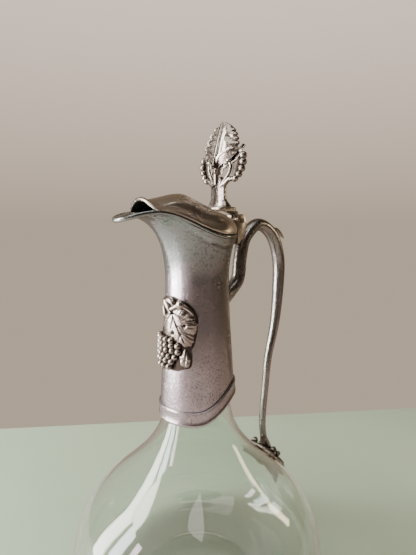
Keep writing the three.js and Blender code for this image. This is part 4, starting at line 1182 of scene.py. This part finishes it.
# ---------- room ----------
def make_camera():
    """A short lens close to the jug, a little above its rim and looking slightly down."""
    data = bpy.data.cameras.new("camera")
    data.sensor_width = 36
    data.lens = 27
    camera = bpy.data.objects.new("camera", data)
    bpy.context.collection.objects.link(camera)
    camera.location = Vector(CAMERA_AT) * MM
    camera.rotation_euler = (math.radians(90 - CAMERA_DOWN), 0, math.radians(-CAMERA_TURN))
    bpy.context.scene.camera = camera


def make_stage():
    """A pale sage table top before a warm wall. What metal mirrors is calmer: a darker room, lighter on
    its window side, over a neutral floor."""
    material, tree = new_material("table_paint_sage")
    place = add(tree, "TexCoord").outputs["Object"]
    cloud = add(tree, "TexNoise", {"Vector": place, "Scale": 6.0, "Detail": 2})
    colour = add(tree, "ValToRGB", {"Fac": cloud.outputs["Fac"]},
                 stops=[(0.3, linear("#879d87")), (0.7, linear("#90a590"))]).outputs["Color"]
    calm = add(tree, "Mix", {"Factor": mirror_rays(tree), "A": colour, "B": linear("#a39d9a")},
               data_type="RGBA")
    shader = add(tree, "BsdfPrincipled", {"Base Color": calm.outputs["Result"], "Roughness": 0.6})
    add(tree, "OutputMaterial", {"Surface": shader.outputs["BSDF"]})
    bpy.ops.object.select_all(action="DESELECT")
    bpy.ops.mesh.primitive_plane_add(size=1)
    table = bpy.context.object
    table.name = "table"
    table.scale = (TABLE_LONG, TABLE_DEEP, 1)
    table.rotation_euler = (0, 0, math.radians(-CAMERA_TURN + TABLE_TURN))
    back = Vector(AHEAD).to_3d()
    table.location = back * (TABLE_FAR_EDGE - TABLE_DEEP / 2) + Vector((0, 0, -0.2 * MM))
    bpy.ops.object.transform_apply(location=True, rotation=True, scale=True)
    table.data.materials.append(material)

    world = bpy.data.worlds.new("wall_light")
    bpy.context.scene.world = world
    world.use_nodes = True
    tree = world.node_tree
    tree.nodes.clear()
    ray = add(tree, "TexCoord").outputs["Generated"]
    rise = add(tree, "SeparateXYZ", {"Vector": ray}).outputs["Z"]
    wall = add(tree, "ValToRGB", {"Fac": rise}, stops=[(0.0, linear("#aa9b89")), (0.6, linear("#fce3d6"))])
    ahead = add(tree, "VectorMath", {0: ray, 1: (*AHEAD, -0.25)}, operation="DOT_PRODUCT").outputs["Value"]
    room = add(tree, "ValToRGB", {"Fac": ahead}, stops=[(0.1, linear("#2b231b")), (0.8, linear("#84735f"))])
    beside = add(tree, "VectorMath", {0: ray, 1: (-AHEAD[1], AHEAD[0], 0)},
                 operation="DOT_PRODUCT").outputs["Value"]
    lit = add(tree, "ValToRGB", {"Fac": beside}, stops=[(0.2, grey(0)), (0.85, grey(1))])
    window_side = add(tree, "Mix", {"Factor": lit.outputs["Color"], "A": room.outputs["Color"],
                                    "B": linear("#b7aaa8")}, data_type="RGBA").outputs["Result"]
    seen = add(tree, "Mix", {"Factor": mirror_rays(tree), "A": wall.outputs["Color"], "B": window_side},
               data_type="RGBA").outputs["Result"]
    glow = add(tree, "Background", {"Color": seen, "Strength": 1.3})
    add(tree, "OutputWorld", {"Surface": glow.outputs["Background"]})


def make_lights():
    """Soft windows: (place, size across and up, power in watts, colour), all aimed at the neck."""
    target = Vector((0, 0, 180)) * MM
    for name, place, size, power, colour in (
            ("window_left_far", (-530, 460, 270), (150, 520), 7.0, "#fffdf6"),
            ("window_left_middle", (-625, 300, 270), (120, 520), 5.0, "#f4fbff"),
            ("window_left_near", (-690, 140, 270), (70, 520), 2.6, "#ffe6f0"),
            ("fanlight_left", (-560, 380, 700), (240, 260), 4.5, "#fffaf0"),
            ("window_right", (620, -320, 330), (60, 200), 0.55, "#ffe9c4"),
            ("ceiling", (-200, -100, 950), (600, 600), 3.0, "#fffaf4")):
        data = bpy.data.lights.new(name, "AREA")
        data.shape = "RECTANGLE"
        data.size, data.size_y = size[0] * MM, size[1] * MM
        data.energy = power
        data.color = linear(colour)[:3]
        light = bpy.data.objects.new(name, data)
        bpy.context.collection.objects.link(light)
        light.visible_camera = False
        light.location = Vector(place) * MM
        light.rotation_euler = (target - light.location).to_track_quat("-Z", "Y").to_euler()


bead_pattern = cast_bead()
make_camera()
make_stage()
make_lights()
make_glass()
make_sleeve()
make_band()
make_lid()
make_hinge()
make_thumb_stem()
make_thumb_leaf()
make_thumb_scrolls()
make_handle()
make_leaf_plate()
make_badge()
bpy.data.objects.remove(bead_pattern)
refinish("neck_plaster", set_plaster())
